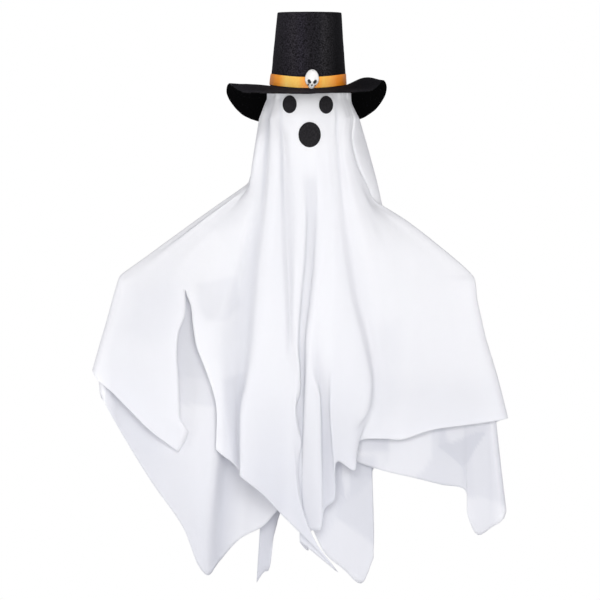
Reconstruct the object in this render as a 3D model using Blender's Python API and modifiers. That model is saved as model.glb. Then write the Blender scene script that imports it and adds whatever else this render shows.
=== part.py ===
"""A hanging ghost decoration: two draped white sheets over a foam head and a bent arm wire,
felt eyes and mouth, and a felt top hat with a ribbon and a small skull charm.

Metres, +Z up, the ghost faces -Y. The origin is the middle of the hat's top, where it is hung.
"""

import math

import bmesh
import bpy
from mathutils import Vector
from mathutils.bvhtree import BVHTree

MM = 0.001
GAP = 0.3 * MM  # clearance that touching pieces keep

# Hat
CROWN_HEIGHT = 117 * MM  # to the brim at the sides
CROWN_TOP_RADIUS = 51.3 * MM
CROWN_BASE_RADIUS = 61 * MM
SADDLE_DIP = 6.2 * MM  # the crown's foot is this much lower in front and behind
FELT = 1.5 * MM
BRIM_HOLE_RADIUS = 57.5 * MM
BAND_WIDTH = 17.5 * MM
RIBBON = 0.6 * MM

# Head, arms and cloth
HEAD_RADIUS = 68 * MM
WIRE_RADIUS = 1.3 * MM
CLOTH = 0.8 * MM
HEAD_EASE = 1.5 * MM  # slack between one cloth layer and what it covers on the head
ARM_EASE = 1.3 * MM  # and on the arm wire
HAT_SETTLE = 1.25 * MM  # how far the brim's hole settles down over the cloth
WIRE_DROP = 0.5 * MM  # the wire lies this much below the line that the cloth over it was drawn from
HEM_TURN = 8 * MM  # how far in from the free edges the cloth's front and back lines lie
WIRE_END = 0.45  # share of the cloth's last arm stretch that the wire stops short of

# Face and charm
FACE_FELT = 1.2 * MM
EYE_SIZE = (22.5 * MM, 28.8 * MM)
MOUTH_SIZE = (35.6 * MM, 40.4 * MM)
CHARM_WIDTH = 22.5 * MM
CHARM_HEIGHT = 31.5 * MM
CHARM_DEPTH = 15 * MM
CHARM_TURN = 5  # degrees round the hat from the front

# The cloth was drawn on a grid. Its fold lines are lists of (across, down, depth): grid columns across
# the front, grid rows down, and millimetres back from the arms' plane.
ARM_SPAN = 571.2 * MM  # between the ends of the arms' cloth
CLOTH_DROP = 743.04 * MM  # from the head's middle to the lowest tip of the cloth
ARM_COLUMNS = (118, 475)
HEAD_ROW = 118.6
LOWEST_ROW = 583
MIDDLE_COLUMN = 309.5  # of the hat's top
HEAD_COLUMN = 308.25  # of the head and of the crown's foot on it
COLUMN = ARM_SPAN / (ARM_COLUMNS[1] - ARM_COLUMNS[0])
ROW = CLOTH_DROP / (LOWEST_ROW - HEAD_ROW)
CROWN_LEAN = (HEAD_COLUMN - MIDDLE_COLUMN) * COLUMN
CHIN_ROW = 140  # where the under sheet has drawn in below the head's middle
CHIN_TUCK = 3 * MM

# How the sheets are divided: angles down from the head's top, rows of the grid, then shares to the hem
HEAD_ANGLES = (0, 16, 32, 46, 58, 69, 80, 90)
LEVELS = (130, 145, 162, 178, 190, 204, 222, 242, 261, 276, 289, 307, 328, 350)
HEM_SHARES = (0.2, 0.42, 0.64, 0.83, 1.0)

# The brim's edge and middle ring: (degrees round from the front, radius, drop below the crown's foot)
BRIM_EDGE = (
    (0, 131, 10.5), (30, 131, 8.5), (50, 131, 7), (62, 128, 0), (72, 126, -8), (90, 125.7, 4),
    (102, 125.3, 17.4), (112, 124, 28.6), (123, 123.8, 40), (138, 122, 52.3), (160, 119, 57),
    (180, 118, 59), (200, 121, 58), (218, 126, 55.3), (230, 129, 49), (240, 129.5, 40),
    (258, 130.4, 20.4), (270, 131, 9), (285, 131, -2.4), (296, 131, 4), (306, 131, 9),
    (330, 131, 9.5),
)
BRIM_MIDDLE = (
    (0, 95, 9.5), (45, 95, 7), (70, 93, -11), (90, 93, -10), (110, 93, 7), (135, 93, 25),
    (180, 92, 31), (225, 95, 26), (250, 96, 10), (270, 96, 0), (290, 96, -1.5), (315, 95, 8),
)

# The face felts' middles on the grid
LEFT_EYE = (289.6, 105)
RIGHT_EYE = (326, 105.5)
MOUTH = (309.6, 135.4)

# The arm wire's centre line on the grid, from the left tip through the head to the right tip
WIRE_LEFT = ((123, 277.8), (135, 269), (150, 258.2), (170, 243.6), (200, 221.8), (224, 204.8), (249, 187.2))
WIRE_NECK = ((270, 171), (286, 159), (296, 153.5), (307, 152), (320, 158), (336, 173), (353, 188))
WIRE_RIGHT = (
    (370, 201.1), (384.5, 210.9), (402, 221.8), (420, 235.1), (440, 251.1), (458, 266.1), (470.2, 278),
)

# Fold lines of the outer sheet: name, degrees round the head from the front, stand-off there, points
LEFT_TIP_OUTER = ((118.4, 280, 0), (112.5, 300, 0), (107, 320, 0), (100.5, 342, 0), (92.5, 370.5, 0))
RIGHT_TIP_OUTER = (
    (475, 281, 0), (477.3, 300, 0), (481, 317, 0), (485, 335, 0), (490, 352, 0), (497, 375, 0),
    (508, 418, 0),
)
OUTER_FRONT = (
    ("left_1", -96, 5, ((257.6, 140, 10), (253.7, 165, 5), (249.6, 184, -6.5), (230.5, 200, -10.5),
                        (203.5, 220, -11), (155, 260, -11), (128, 289, -13), (119, 320, -17),
                        (113, 350, -19), (112, 392, -20))),
    ("left_2", -94, 5, ((257.2, 140, 8), (253.4, 165, 3), (249.8, 184, -8.2), (234, 200, -12),
                        (210, 220, -13), (166, 260, -15), (147, 289, -19), (139, 320, -23),
                        (133, 350, -26), (128, 408, -27))),
    ("left_3", -93, 5, ((257, 140, 7), (253.2, 165, 2), (250, 184, -9.5), (236.5, 200, -13),
                        (216, 220, -15), (177, 260, -18), (167, 289, -24), (162, 320, -28),
                        (156, 350, -30), (150, 430, -30))),
    ("slit_left", -92, 5, ((256.9, 140, 6), (253, 165, 0), (250.2, 184, -11), (239, 200, -14.5),
                           (222, 220, -17), (188, 260, -22), (185.5, 289, -27), (185.3, 314, -29),
                           (179, 332, -29), (177, 355, -28), (178, 370, -28), (180, 405, -27),
                           (181, 420, -26), (188, 432, -21), (179, 452, -18))),
    ("slit_right", -92, 5, ((256.9, 140, 6), (253, 165, 0), (250.2, 184, -11), (239, 200, -14.5),
                            (222, 220, -17), (188, 260, -22), (185.5, 289, -27), (191, 306, -27),
                            (193.3, 326, -30), (197, 347, -32), (206, 370, -33), (215, 398, -35),
                            (217, 415, -35), (216, 449, -35))),
    ("left_swag", -89, 6, ((256.3, 140, 2), (252.6, 165, -4), (250, 184, -15), (243, 200, -19),
                           (234, 220, -21), (216, 260, -23), (213, 285, -23), (212, 303, -25),
                           (212, 324, -34), (213, 350, -35), (221, 400, -36), (224, 456, -35))),
    ("head_left_ridge", -76, 11, ((257.7, 140, -37), (253.6, 163, -36), (250, 183, -35),
                                  (248.5, 200, -41), (246.5, 220, -47), (240, 250, -47),
                                  (229, 289, -41), (224, 312, -38), (222, 340, -38), (226, 400, -38),
                                  (231, 461, -37))),
    ("left_valley", -64, 0, ((263.5, 140, -37), (261.5, 180, -40), (254, 220, -39), (247, 260, -33),
                             (241, 300, -29), (238, 340, -29), (238, 400, -31), (240, 440, -32),
                             (243, 474, -32))),
    ("left_valley_end", -59, 0, ((267.3, 140, -42), (266, 180, -44), (262.7, 220, -38),
                                 (259.5, 260, -27), (256.5, 300, -23), (253.5, 340, -24),
                                 (248.5, 380, -28), (247, 400, -30), (247, 440, -32),
                                 (250, 478, -34))),
    ("panel_left_edge", -51, 6, ((271.5, 140, -60), (269.3, 180, -61), (266, 220, -62),
                                 (262, 260, -62), (258.5, 300, -64), (255.5, 340, -66),
                                 (249, 380, -68), (243, 400, -68), (241, 418, -68),
                                 (240.5, 450, -70), (240, 475, -68))),
    ("panel_middle", -45, 6, ((276.5, 140, -65), (276, 180, -67), (274, 220, -69), (273, 260, -71),
                              (272, 300, -73), (271, 350, -74), (264, 400, -74), (261, 450, -74),
                              (262, 493, -71))),
    ("panel_inner_edge", -41, 5, ((279.3, 140, -64), (280, 180, -65), (280.7, 220, -66),
                                  (282, 260, -68), (284.3, 300, -70), (285, 345, -72),
                                  (284, 360, -73), (283, 400, -73), (281, 450, -74),
                                  (281, 513, -71))),
    ("face_left_valley", -37, 0, ((282.6, 140, -57), (284.8, 180, -57), (287, 220, -56),
                                  (288.7, 260, -58), (290.5, 300, -60), (291.3, 335, -61),
                                  (291, 352, -64), (291, 366, -72), (290.5, 400, -73),
                                  (288, 450, -74), (290, 522, -72))),
    ("face_left_ridge", -26, 0, ((291, 140, -66), (294, 180, -64), (297.5, 220, -65), (296, 260, -66),
                                 (294.3, 300, -66), (294, 340, -66), (296, 360, -67), (296.3, 378, -72),
                                 (295, 410, -72), (294, 450, -73), (295, 500, -73), (303, 535, -72))),
    ("panel_right_edge", -14, 0, ((299, 140, -69), (301.5, 180, -67), (304.7, 220, -65),
                                  (303.2, 260, -65), (299.5, 300, -65), (297, 345, -66),
                                  (299.5, 374, -68), (299.5, 392, -67), (293.5, 414, -66),
                                  (301, 440, -66), (297, 468, -67), (301, 503, -70),
                                  (318, 545, -72), (338, 571, -72))),
    ("valley_left", -7, 0, ((304.5, 140, -70.5), (307, 180, -64), (307.6, 220, -56),
                            (305.8, 260, -54), (302, 300, -52), (299.2, 340, -49),
                            (300.5, 380, -45), (299, 420, -46), (299, 460, -48),
                            (299, 500, -50), (300, 541, -51))),
    ("valley_right", -1, 0, ((310.5, 140, -71.5), (315, 180, -63), (315.6, 220, -55), (313.6, 260, -53),
                             (309.9, 300, -51), (305.5, 340, -48), (304, 380, -45), (303, 420, -46),
                             (302.3, 460, -48), (302, 500, -50), (308, 550, -51))),
    ("strip_left_edge", 5, 0, ((315, 140, -71.5), (317, 180, -68), (317.4, 220, -66), (315.5, 260, -66),
                               (311, 300, -67), (306.5, 338, -68), (306.8, 362, -69),
                               (305.8, 390, -69), (304.3, 430, -65), (304, 500, -56),
                               (311, 530, -54))),
    ("strip_right_edge", 13, 0, ((320.5, 140, -70), (322, 180, -69), (323, 220, -69), (320, 260, -71),
                                 (315, 300, -73), (310, 350, -73), (312, 375, -73), (317.5, 390, -73),
                                 (319.5, 402, -72), (319.5, 500, -62), (319.5, 530, -57))),
    ("strip_valley", 19, 0, ((325, 140, -69), (326, 180, -68), (327, 220, -70), (325, 260, -72),
                             (321, 300, -73), (317, 350, -71), (319.5, 380, -61), (322, 410, -55),
                             (324, 460, -53), (325, 508, -53))),
    ("strip_valley_end", 23, 0, ((328, 140, -67.5), (329.5, 180, -68), (330.5, 220, -70),
                                 (330, 260, -72), (328, 300, -74), (326, 350, -73), (327, 380, -65),
                                 (328, 410, -58), (332, 460, -55), (334, 500, -55))),
    ("front_right_ridge", 28, 0, ((330.5, 140, -65.5), (332.5, 180, -66), (335, 220, -69),
                                  (336, 260, -73), (337, 300, -75), (337, 350, -75), (333, 380, -73),
                                  (332, 410, -72), (335, 450, -70), (337, 461, -67))),
    ("front_right_edge", 34, 2, ((333, 140, -63.5), (335.7, 180, -63), (339, 220, -65), (344, 260, -67),
                                 (350, 300, -67), (360, 340, -67), (368.5, 380, -66),
                                 (368.8, 392, -66), (364, 415, -64), (354, 429, -61), (352, 443, -61),
                                 (354.5, 470, -60))),
    ("right_valley", 39, 0, ((337, 140, -57), (340.7, 180, -56.5), (346, 220, -54.5),
                             (352, 260, -52), (359, 300, -48), (369, 340, -44), (374, 380, -41),
                             (372, 410, -37), (364, 430, -36), (357, 442, -34))),
    ("right_ridge", 48, 6, ((342.5, 140, -58), (348.5, 180, -56), (358, 220, -53), (366, 260, -50),
                            (374, 300, -46), (380, 340, -42), (384, 380, -38), (384, 438.5, -34))),
    ("right_1", 54, 6, ((346, 140, -55), (351.3, 165, -50), (356.5, 186, -46), (367, 220, -43),
                        (382, 260, -38), (391, 300, -36), (396, 350, -31), (401, 439.5, -32))),
    ("right_2", 58, 6, ((348.3, 140, -51), (353.6, 165, -45), (360.5, 186, -37), (376, 220, -29),
                        (401, 260, -24), (416, 300, -25), (423, 350, -25), (431, 430, -28))),
    ("right_3", 61, 6, ((349.8, 140, -46), (355, 165, -41), (363.5, 186, -28), (372, 204, -16),
                        (389, 220, -12), (431, 260, -11), (449, 300, -16), (458, 350, -20),
                        (470, 424.5, -21))),
)
OUTER_BACK = (
    ("back_1", 76, 7, ((353.5, 140, -14), (360, 165, -4), (368.5, 186, 5), (376, 204, 10),
                       (393, 220, 11), (440, 260, 12),
                       (452, 300, 17), (460, 350, 20), (470, 434, 22))),
    ("head_right_edge", 94, 9, ((365.5, 140, 12), (372.5, 165, 14), (378, 186, 15), (382, 204, 17),
                                (388, 220, 18),
                                (412, 260, 19), (424, 300, 24), (431, 350, 28), (443, 446, 30))),
    ("back_2", 116, 7, ((359, 140, 42), (365, 165, 44), (369, 186, 44), (374, 220, 42), (386, 260, 38),
                        (393, 300, 40), (396, 350, 44), (400, 457, 46))),
    ("back_3", 135, 0, ((346, 140, 54), (350, 180, 50), (354, 220, 45), (360, 260, 41), (365, 300, 40),
                        (367, 350, 42), (368, 468, 44))),
    ("back_4", 150, 6, ((334, 140, 68), (337, 180, 68), (340, 220, 67), (344, 260, 66), (346, 300, 68),
                        (346, 350, 70), (345, 490, 72))),
    ("back_5", 165, 0, ((320, 140, 71), (322, 180, 62), (323, 220, 54), (324, 260, 49), (325, 300, 48),
                        (325, 350, 50), (325, 500, 52))),
    ("back_6", 180, 4, ((307, 140, 77), (306, 180, 77), (305, 220, 76), (304, 260, 76), (303, 300, 77),
                        (302, 350, 79), (300, 507, 80))),
    ("back_7", 196, 0, ((294, 140, 70), (291, 180, 60), (288, 220, 53), (285, 260, 48), (282, 300, 48),
                        (279, 350, 50), (276, 492, 52))),
    ("back_8", 212, 6, ((281, 140, 66), (276, 180, 65), (271, 220, 62), (265, 260, 60), (260, 300, 62),
                        (256, 350, 64), (250, 466, 66))),
    ("back_9", 228, 0, ((270, 140, 53), (263, 180, 46), (254, 220, 39), (244, 260, 35), (236, 300, 36),
                        (232, 350, 38), (228, 430, 40))),
    ("back_10", 244, 6, ((262.5, 140, 38), (256, 176, 32), (242, 203, 28), (230, 220, 27), (212, 260, 28),
                         (203, 300, 32), (200, 350, 35), (197, 405, 37))),
    ("back_11", 255, 6, ((259.5, 140, 24), (254.6, 170, 16), (250.5, 184, 9), (220, 220, 15),
                         (176, 260, 18), (158, 300, 22), (152, 350, 25), (150, 402, 27))),
)

# Fold lines of the under sheet, inside the outer one down to its hem
LEFT_TIP_UNDER = ((120.8, 281, 0), (116, 300, 0), (110.5, 320, 0), (104.5, 342, 0), (98.5, 366, 0),
                  (99.5, 391, 0))
RIGHT_TIP_UNDER = ((472.6, 282, 0), (474.3, 300, 0), (481.5, 335, 0), (491, 375, 0), (495.5, 415, 0),
                   (501, 465, 0), (506.5, 511, 0))
UNDER_FRONT = (
    ("under_left_1", -98, 0, ((258.5, 165, 1), (254.5, 184, -4.5), (207, 220, -5),
                              (159, 260, -5), (132, 289, -6), (123, 320, -6), (117, 350, -5),
                              (114, 390, -3), (118, 427, 0))),
    ("under_left_2", -92, 0, ((260, 165, -4), (256.5, 184, -6.5), (216, 220, -6),
                              (173, 260, -7), (151, 289, -8), (142, 350, -10), (146, 400, -9),
                              (151, 481, -5))),
    ("under_left_3", -84, 0, ((262, 165, -10), (258.8, 184, -9), (228, 220, -8),
                              (194, 260, -9), (179, 289, -10), (169, 350, -12), (172, 420, -12),
                              (183, 527, -13))),
    ("under_left_4", -74, 0, ((264.5, 165, -17), (261.5, 184, -13), (239, 220, -10),
                              (214, 260, -11), (203, 300, -12), (196, 350, -14), (194, 450, -16),
                              (199, 566, -16))),
    ("under_left_ridge", -64, 0, ((268, 165, -22), (265, 184, -16), (247, 220, -13),
                                  (229, 260, -12), (222, 300, -14), (219, 350, -16), (217, 400, -20),
                                  (216, 450, -28), (212, 490, -30), (207, 530, -29), (206, 575, -24))),
    ("under_left_inside", -54, 0, ((273, 165, -30), (270, 184, -22), (257, 220, -15),
                                   (242, 260, -11), (235, 300, -9), (228, 350, -8), (222, 400, -6),
                                   (219.5, 450, -2), (216.5, 500, 2), (211, 572, 0))),
    ("under_left_back", -44, 0, ((279, 165, -38), (277, 184, -28), (266, 220, -18),
                                 (253, 260, -12), (247, 300, -8), (245, 350, -4), (246, 400, 2),
                                 (245, 450, 6), (243, 500, 8), (240, 539, 8))),
    ("under_left_end", -34, 0, ((286, 165, -43), (284, 184, -34), (275, 220, -22),
                                (268, 260, -18), (266, 300, -16), (265, 350, -14), (264, 400, -8),
                                (264, 450, -4), (262, 500, 0), (262, 527, 0))),
    ("under_middle_left", -17, 0, ((297, 165, -50), (295, 184, -38), (290, 220, -26),
                                   (287, 260, -24), (286, 350, -22), (286, 430, -16), (286, 505, -12))),
    ("under_middle", 0, 0, ((309, 165, -52), (309, 184, -40), (309, 220, -28),
                            (308, 260, -24), (306, 350, -24), (306, 430, -24), (308, 522, -24))),
    ("under_right_1", 15, 0, ((319, 165, -50), (320, 184, -39), (324, 220, -29),
                              (327, 260, -28), (329, 350, -28), (328, 430, -30), (326, 500, -32),
                              (325, 553, -32))),
    ("under_right_2", 27, 0, ((327, 165, -46), (329, 184, -37), (336, 220, -28),
                              (341, 260, -26), (346, 350, -23), (347, 430, -24), (345, 500, -28),
                              (343, 568.5, -30))),
    ("under_right_tip", 38, 0, ((334, 165, -41), (337, 184, -33), (345, 220, -25),
                                (351, 260, -21), (357, 350, -15), (361, 430, -14), (362, 500, -20),
                                (361, 583, -24))),
    ("under_slit_left", 49, 0, ((341, 165, -33), (345, 184, -27), (353, 220, -20),
                                (360, 260, -15), (366, 350, -12), (371, 430, -10), (372.5, 480, -12),
                                (374, 530, -15), (373.5, 558, -17))),
    ("under_slit_right", 49, 0, ((341, 165, -33), (345, 184, -27), (353, 220, -20),
                                 (360, 260, -15), (366, 350, -12), (362, 400, -20), (354, 461, -24))),
    ("under_right_3", 60, 0, ((346, 165, -25), (351, 184, -20), (361, 220, -15),
                              (375, 260, -10), (384, 300, -10), (386, 350, -13), (384, 400, -18),
                              (383, 470.5, -18))),
    ("under_right_4", 70, 0, ((346, 165, -18), (353, 186, -14), (361, 204, -12), (370, 220, -10),
                              (395, 260, -7), (408, 300, -8), (412, 350, -12), (414, 400, -14),
                              (415, 478, -14))),
    ("under_right_5", 78, 0, ((347.5, 165, -13), (355.5, 186, -10), (365, 204, -8.5), (379, 220, -7),
                              (415, 260, -6), (430, 300, -7), (436, 350, -11), (440, 400, -12),
                              (441, 484.5, -10))),
    ("under_right_6", 84, 0, ((348.8, 165, -9.5), (357.5, 186, -8), (368, 204, -6.5), (386, 220, -5),
                              (432, 260, -5), (451, 300, -7), (458, 350, -9), (463, 430, -8),
                              (465, 490, -6))),
    ("under_right_7", 88, 0, ((349.8, 165, -7.5), (359.2, 186, -7), (369.7, 204, -6), (389.5, 220, -5),
                              (437, 260, -5), (458, 300, -6), (466, 350, -8), (468, 430, -8),
                              (467.5, 515, -6))),
    ("under_right_8", 91, 0, ((350.6, 165, -5.5), (360.4, 186, -6), (371, 204, -5.3), (392, 220, -4.5),
                              (440.5, 260, -4.5), (463, 300, -6), (472, 350, -8), (477, 430, -8),
                              (478, 535, -6))),
    ("under_right_9", 94, 0, ((351.2, 165, -3.5), (361.4, 186, -5), (372, 204, -4.7), (394, 220, -4),
                              (443, 260, -4), (467, 300, -6), (478, 350, -7), (488, 430, -7),
                              (492, 527, -5))),
)
UNDER_BACK = (
    ("under_back_1", 104, 0, ((351, 165, 12), (360.5, 186, 9), (370, 204, 8), (386, 220, 7),
                              (425, 260, 6), (440, 300, 8), (446, 350, 10), (450, 460, 10))),
    ("under_back_2", 122, 0, ((346, 165, 28), (353, 186, 24), (365, 220, 18),
                              (384, 260, 14), (396, 300, 14), (400, 350, 16), (402, 462, 16))),
    ("under_back_3", 136, 0, ((338, 165, 40), (342, 186, 34), (350, 220, 27),
                              (361, 260, 22), (368, 300, 20), (372, 350, 18), (375, 466, 16))),
    ("under_back_4", 150, 0, ((328, 165, 47), (331, 186, 40), (337, 220, 33),
                              (344, 260, 28), (350, 350, 24), (362, 480, 16), (367, 539, 12))),
    ("under_back_5", 165, 0, ((318, 165, 52), (319, 186, 45), (322, 220, 37),
                              (325, 260, 32), (329, 350, 28), (336, 517, 20))),
    ("under_back_6", 180, 0, ((306, 165, 54), (306, 186, 46), (306, 220, 38),
                              (305, 260, 33), (304, 350, 30), (304, 500, 26))),
    ("under_back_7", 194, 0, ((296, 165, 52), (294, 186, 44), (291, 220, 36),
                              (288, 260, 31), (284, 350, 28), (281, 509, 22))),
    ("tail_right", 202, 0, ((290, 165, 50), (288, 186, 42), (284, 220, 34),
                            (279, 260, 29), (275, 350, 27), (274, 480, 22), (269.5, 553, 20))),
    ("tail_end", 208, 0, ((286, 165, 47), (284, 186, 40), (278, 220, 32),
                          (272, 260, 28), (268, 350, 26), (268, 480, 22), (263.5, 575, 20))),
    ("tail_left", 213, 0, ((283, 165, 44), (280, 186, 38), (273, 220, 30),
                           (267, 260, 26), (262, 350, 24), (262, 480, 22), (256.5, 583, 20))),
    ("under_back_8", 213, 0, ((283, 165, 44), (280, 186, 38), (273, 220, 30),
                              (267, 260, 26), (262, 350, 24), (261, 480, 18))),
    ("under_back_9", 226, 0, ((275, 165, 36), (271, 186, 30), (260, 220, 24),
                              (248, 260, 20), (240, 350, 18), (238, 430, 16))),
    ("under_back_10", 242, 0, ((266, 165, 25), (261, 184, 18), (240, 220, 13),
                               (214, 260, 12), (203, 300, 14), (200, 350, 16), (204, 396, 16))),
    ("under_back_11", 250, 0, ((260.5, 165, 13), (255, 184, 8), (222, 220, 7),
                               (179, 260, 8), (160, 300, 10), (155, 350, 12), (156, 392, 12))),
)


def clear_scene():
    for item in list(bpy.data.objects):
        bpy.data.objects.remove(item, do_unlink=True)


def new_collection(name):
    group = bpy.data.collections.new(name)
    bpy.context.scene.collection.children.link(group)
    return group


def principled(name, colour, roughness):
    material = bpy.data.materials.new(name)
    material.use_nodes = True
    shader = material.node_tree.nodes["Principled BSDF"]
    shader.inputs["Base Color"].default_value = (*colour, 1)
    shader.inputs["Roughness"].default_value = roughness
    return material


def add_object(name, mesh, material, group):
    piece = bpy.data.objects.new(name, mesh)
    mesh.materials.append(material)
    mesh.shade_smooth()
    mesh.set_sharp_from_angle(angle=math.radians(40))
    group.objects.link(piece)
    return piece


def mesh_from_bmesh(bm, name):
    mesh = bpy.data.meshes.new(name)
    bm.to_mesh(mesh)
    bm.free()
    return mesh


def thicken(piece, thickness, offset):
    """Gives an open surface its thickness: offset -1 grows it inward and 1 outward."""
    shell = piece.modifiers.new("thickness", "SOLIDIFY")
    shell.thickness = thickness
    shell.offset = offset
    shell.use_even_offset = False


# Curves through hand-placed points


def smooth_value(knots, values, at):
    """The value at a place on a smooth curve through the values at rising knots."""
    last = len(knots) - 1
    at = min(max(at, knots[0]), knots[last])
    i = 0
    while i < last - 1 and at > knots[i + 1]:
        i += 1
    width = knots[i + 1] - knots[i]
    rise = (values[i + 1] - values[i]) / width
    before = rise
    after = rise
    if i > 0:
        before = (values[i + 1] - values[i - 1]) / (knots[i + 1] - knots[i - 1])
    if i < last - 1:
        after = (values[i + 2] - values[i]) / (knots[i + 2] - knots[i])
    t = (at - knots[i]) / width
    from_start = (1 + 2 * t) * (1 - t) ** 2 * values[i] + t * (1 - t) ** 2 * width * before
    from_end = t * t * (3 - 2 * t) * values[i + 1] + t * t * (t - 1) * width * after
    return from_start + from_end


def round_value(table, column, degrees):
    """The value in one column of a table that runs once round the hat."""
    turns = [row[0] for row in table]
    knots = [turns[-1] - 360, *turns, turns[0] + 360, turns[1] + 360]
    values = [row[column] for row in table]
    return smooth_value(knots, [values[-1], *values, values[0], values[1]], degrees % 360)


def between(p0, p1, p2, p3, t):
    """A point between p1 and p2 on a centripetal curve through four points."""
    a = max((p1 - p0).length, 1e-6) ** 0.5
    b = max((p2 - p1).length, 1e-6) ** 0.5
    c = max((p3 - p2).length, 1e-6) ** 0.5
    slope_1 = (p2 - p1) + b * ((p1 - p0) / a - (p2 - p0) / (a + b))
    slope_2 = (p2 - p1) + b * ((p3 - p2) / c - (p3 - p1) / (b + c))
    near = (1 + 2 * t) * (1 - t) ** 2 * p1 + t * (1 - t) ** 2 * slope_1
    far = t * t * (3 - 2 * t) * p2 + t * t * (t - 1) * slope_2
    return near + far


# Hat


def crown_foot(degrees):
    """Height of the crown's foot, degrees round from the front."""
    dip = SADDLE_DIP * math.cos(math.radians(degrees)) ** 2
    return -(CROWN_HEIGHT + dip)


def crown_radius(height):
    share = -height / CROWN_HEIGHT
    return CROWN_TOP_RADIUS + (CROWN_BASE_RADIUS - CROWN_TOP_RADIUS) * share


def hat_point(degrees, radius, height):
    turn = math.radians(degrees)
    lean = CROWN_LEAN * min(-height / CROWN_HEIGHT, 1)
    return Vector((lean + radius * math.sin(turn), -radius * math.cos(turn), height))


def ring_mesh(name, rings):
    """A surface through closed rings of points, each ring as many points as the first."""
    bm = bmesh.new()
    rows = [[bm.verts.new(point) for point in ring] for ring in rings]
    count = len(rows[0])
    for upper, lower in zip(rows, rows[1:]):
        for i in range(count):
            j = (i + 1) % count
            bm.faces.new((upper[i], lower[i], lower[j], upper[j]))
    return mesh_from_bmesh(bm, name)


def build_crown(material, group):
    around = 48
    rings = []
    for share in (0.0, 0.35, 0.7, 1.0):
        ring = []
        for i in range(around):
            degrees = 360 * i / around
            top = -FELT - GAP
            height = top + (crown_foot(degrees) - top) * share
            ring.append(hat_point(degrees, crown_radius(height), height))
        rings.append(ring)
    crown = add_object("hat_crown", ring_mesh("hat_crown", rings), material, group)
    thicken(crown, FELT, -1)


def build_hat_top(material, group):
    bm = bmesh.new()
    bmesh.ops.create_cone(
        bm, cap_ends=True, segments=48, radius1=CROWN_TOP_RADIUS, radius2=CROWN_TOP_RADIUS, depth=FELT
    )
    top = add_object("hat_top", mesh_from_bmesh(bm, "hat_top"), material, group)
    top.location = (0, 0, -FELT / 2)


def brim_rings(around):
    """The brim's upper surface, from the hole to the edge."""
    rings = [[], [], [], [], []]
    for i in range(around):
        degrees = 360 * i / around
        foot = crown_foot(degrees) - GAP
        middle_radius = round_value(BRIM_MIDDLE, 1, degrees) * MM
        middle = -CROWN_HEIGHT - round_value(BRIM_MIDDLE, 2, degrees) * MM
        edge_radius = round_value(BRIM_EDGE, 1, degrees) * MM
        edge = -CROWN_HEIGHT - round_value(BRIM_EDGE, 2, degrees) * MM
        knots = (BRIM_HOLE_RADIUS, CROWN_BASE_RADIUS, middle_radius, edge_radius)
        heights = (foot, foot, middle, edge)
        outer_share = (middle_radius + edge_radius) / 2
        inner_share = (CROWN_BASE_RADIUS + middle_radius) / 2
        radii = (BRIM_HOLE_RADIUS, CROWN_BASE_RADIUS, inner_share, outer_share, edge_radius)
        for ring, radius in zip(rings, radii):
            height = smooth_value(knots, heights, radius)
            ring.append(hat_point(degrees, radius, height))
    return rings


def build_brim(material, group):
    brim = add_object("hat_brim", ring_mesh("hat_brim", brim_rings(56)), material, group)
    thicken(brim, FELT, -1)


def build_band(material, group):
    around = 48
    stand_off = GAP + RIBBON
    rings = []
    for share in (1.0, 0.5, 0.0):
        ring = []
        for i in range(around):
            degrees = 360 * i / around
            height = crown_foot(degrees) + GAP + FELT / 2 + BAND_WIDTH * share
            ring.append(hat_point(degrees, crown_radius(height) + stand_off, height))
        rings.append(ring)
    band = add_object("hat_band", ring_mesh("hat_band", rings), material, group)
    thicken(band, RIBBON, -1)


def build_charm(material, group, cutters):
    """A small skull bead, flat behind, with eye sockets, a nose hole and hollow cheeks."""
    bm = bmesh.new()
    bmesh.ops.create_uvsphere(bm, u_segments=20, v_segments=14, radius=0.5)
    for vert in bm.verts:
        jaw = max(0.0, -vert.co.z - 0.1) / 0.4
        vert.co.x *= 1 - 0.42 * min(jaw, 1) ** 1.2
        vert.co.y *= 1 - 0.25 * min(jaw, 1)
        vert.co = Vector((vert.co.x * CHARM_WIDTH, vert.co.y * CHARM_DEPTH, vert.co.z * CHARM_HEIGHT))
    bmesh.ops.bisect_plane(
        bm, geom=bm.verts[:] + bm.edges[:] + bm.faces[:], plane_co=(0, CHARM_DEPTH * 0.25, 0),
        plane_no=(0, 1, 0), clear_outer=True,
    )
    bmesh.ops.holes_fill(bm, edges=[edge for edge in bm.edges if edge.is_boundary])
    charm = add_object("skull_charm", mesh_from_bmesh(bm, "skull_charm"), material, group)
    middle = crown_foot(0) + BAND_WIDTH * 0.86
    seat = crown_radius(middle) + 2 * GAP + RIBBON + CHARM_DEPTH * 0.25
    charm.location = hat_point(CHARM_TURN, seat, middle)
    flare = math.atan((CROWN_BASE_RADIUS - CROWN_TOP_RADIUS) / CROWN_HEIGHT)
    charm.rotation_euler = (-flare, 0, math.radians(CHARM_TURN))
    hollows = (
        ("socket_left", -0.2, -0.16, 0.21), ("socket_right", 0.2, -0.16, 0.21),
        ("nose_hole", 0.0, -0.33, 0.11), ("cheek_left", -0.33, -0.36, 0.15),
        ("cheek_right", 0.33, -0.36, 0.15),
    )
    for name, across, up, size in hollows:
        bm = bmesh.new()
        bmesh.ops.create_uvsphere(bm, u_segments=10, v_segments=8, radius=size * CHARM_WIDTH * 0.62)
        cutter = bpy.data.objects.new(name, mesh_from_bmesh(bm, name))
        cutters.objects.link(cutter)
        cutter.hide_render = True
        cutter.display_type = "WIRE"
        front = CHARM_DEPTH * 0.46 * math.cos(across * math.pi * 0.9)
        cutter.parent = charm
        cutter.location = (across * CHARM_WIDTH, -front, up * CHARM_HEIGHT)
        cut = charm.modifiers.new(name, "BOOLEAN")
        cut.operation = "DIFFERENCE"
        cut.object = cutter


# Head and arms


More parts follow.
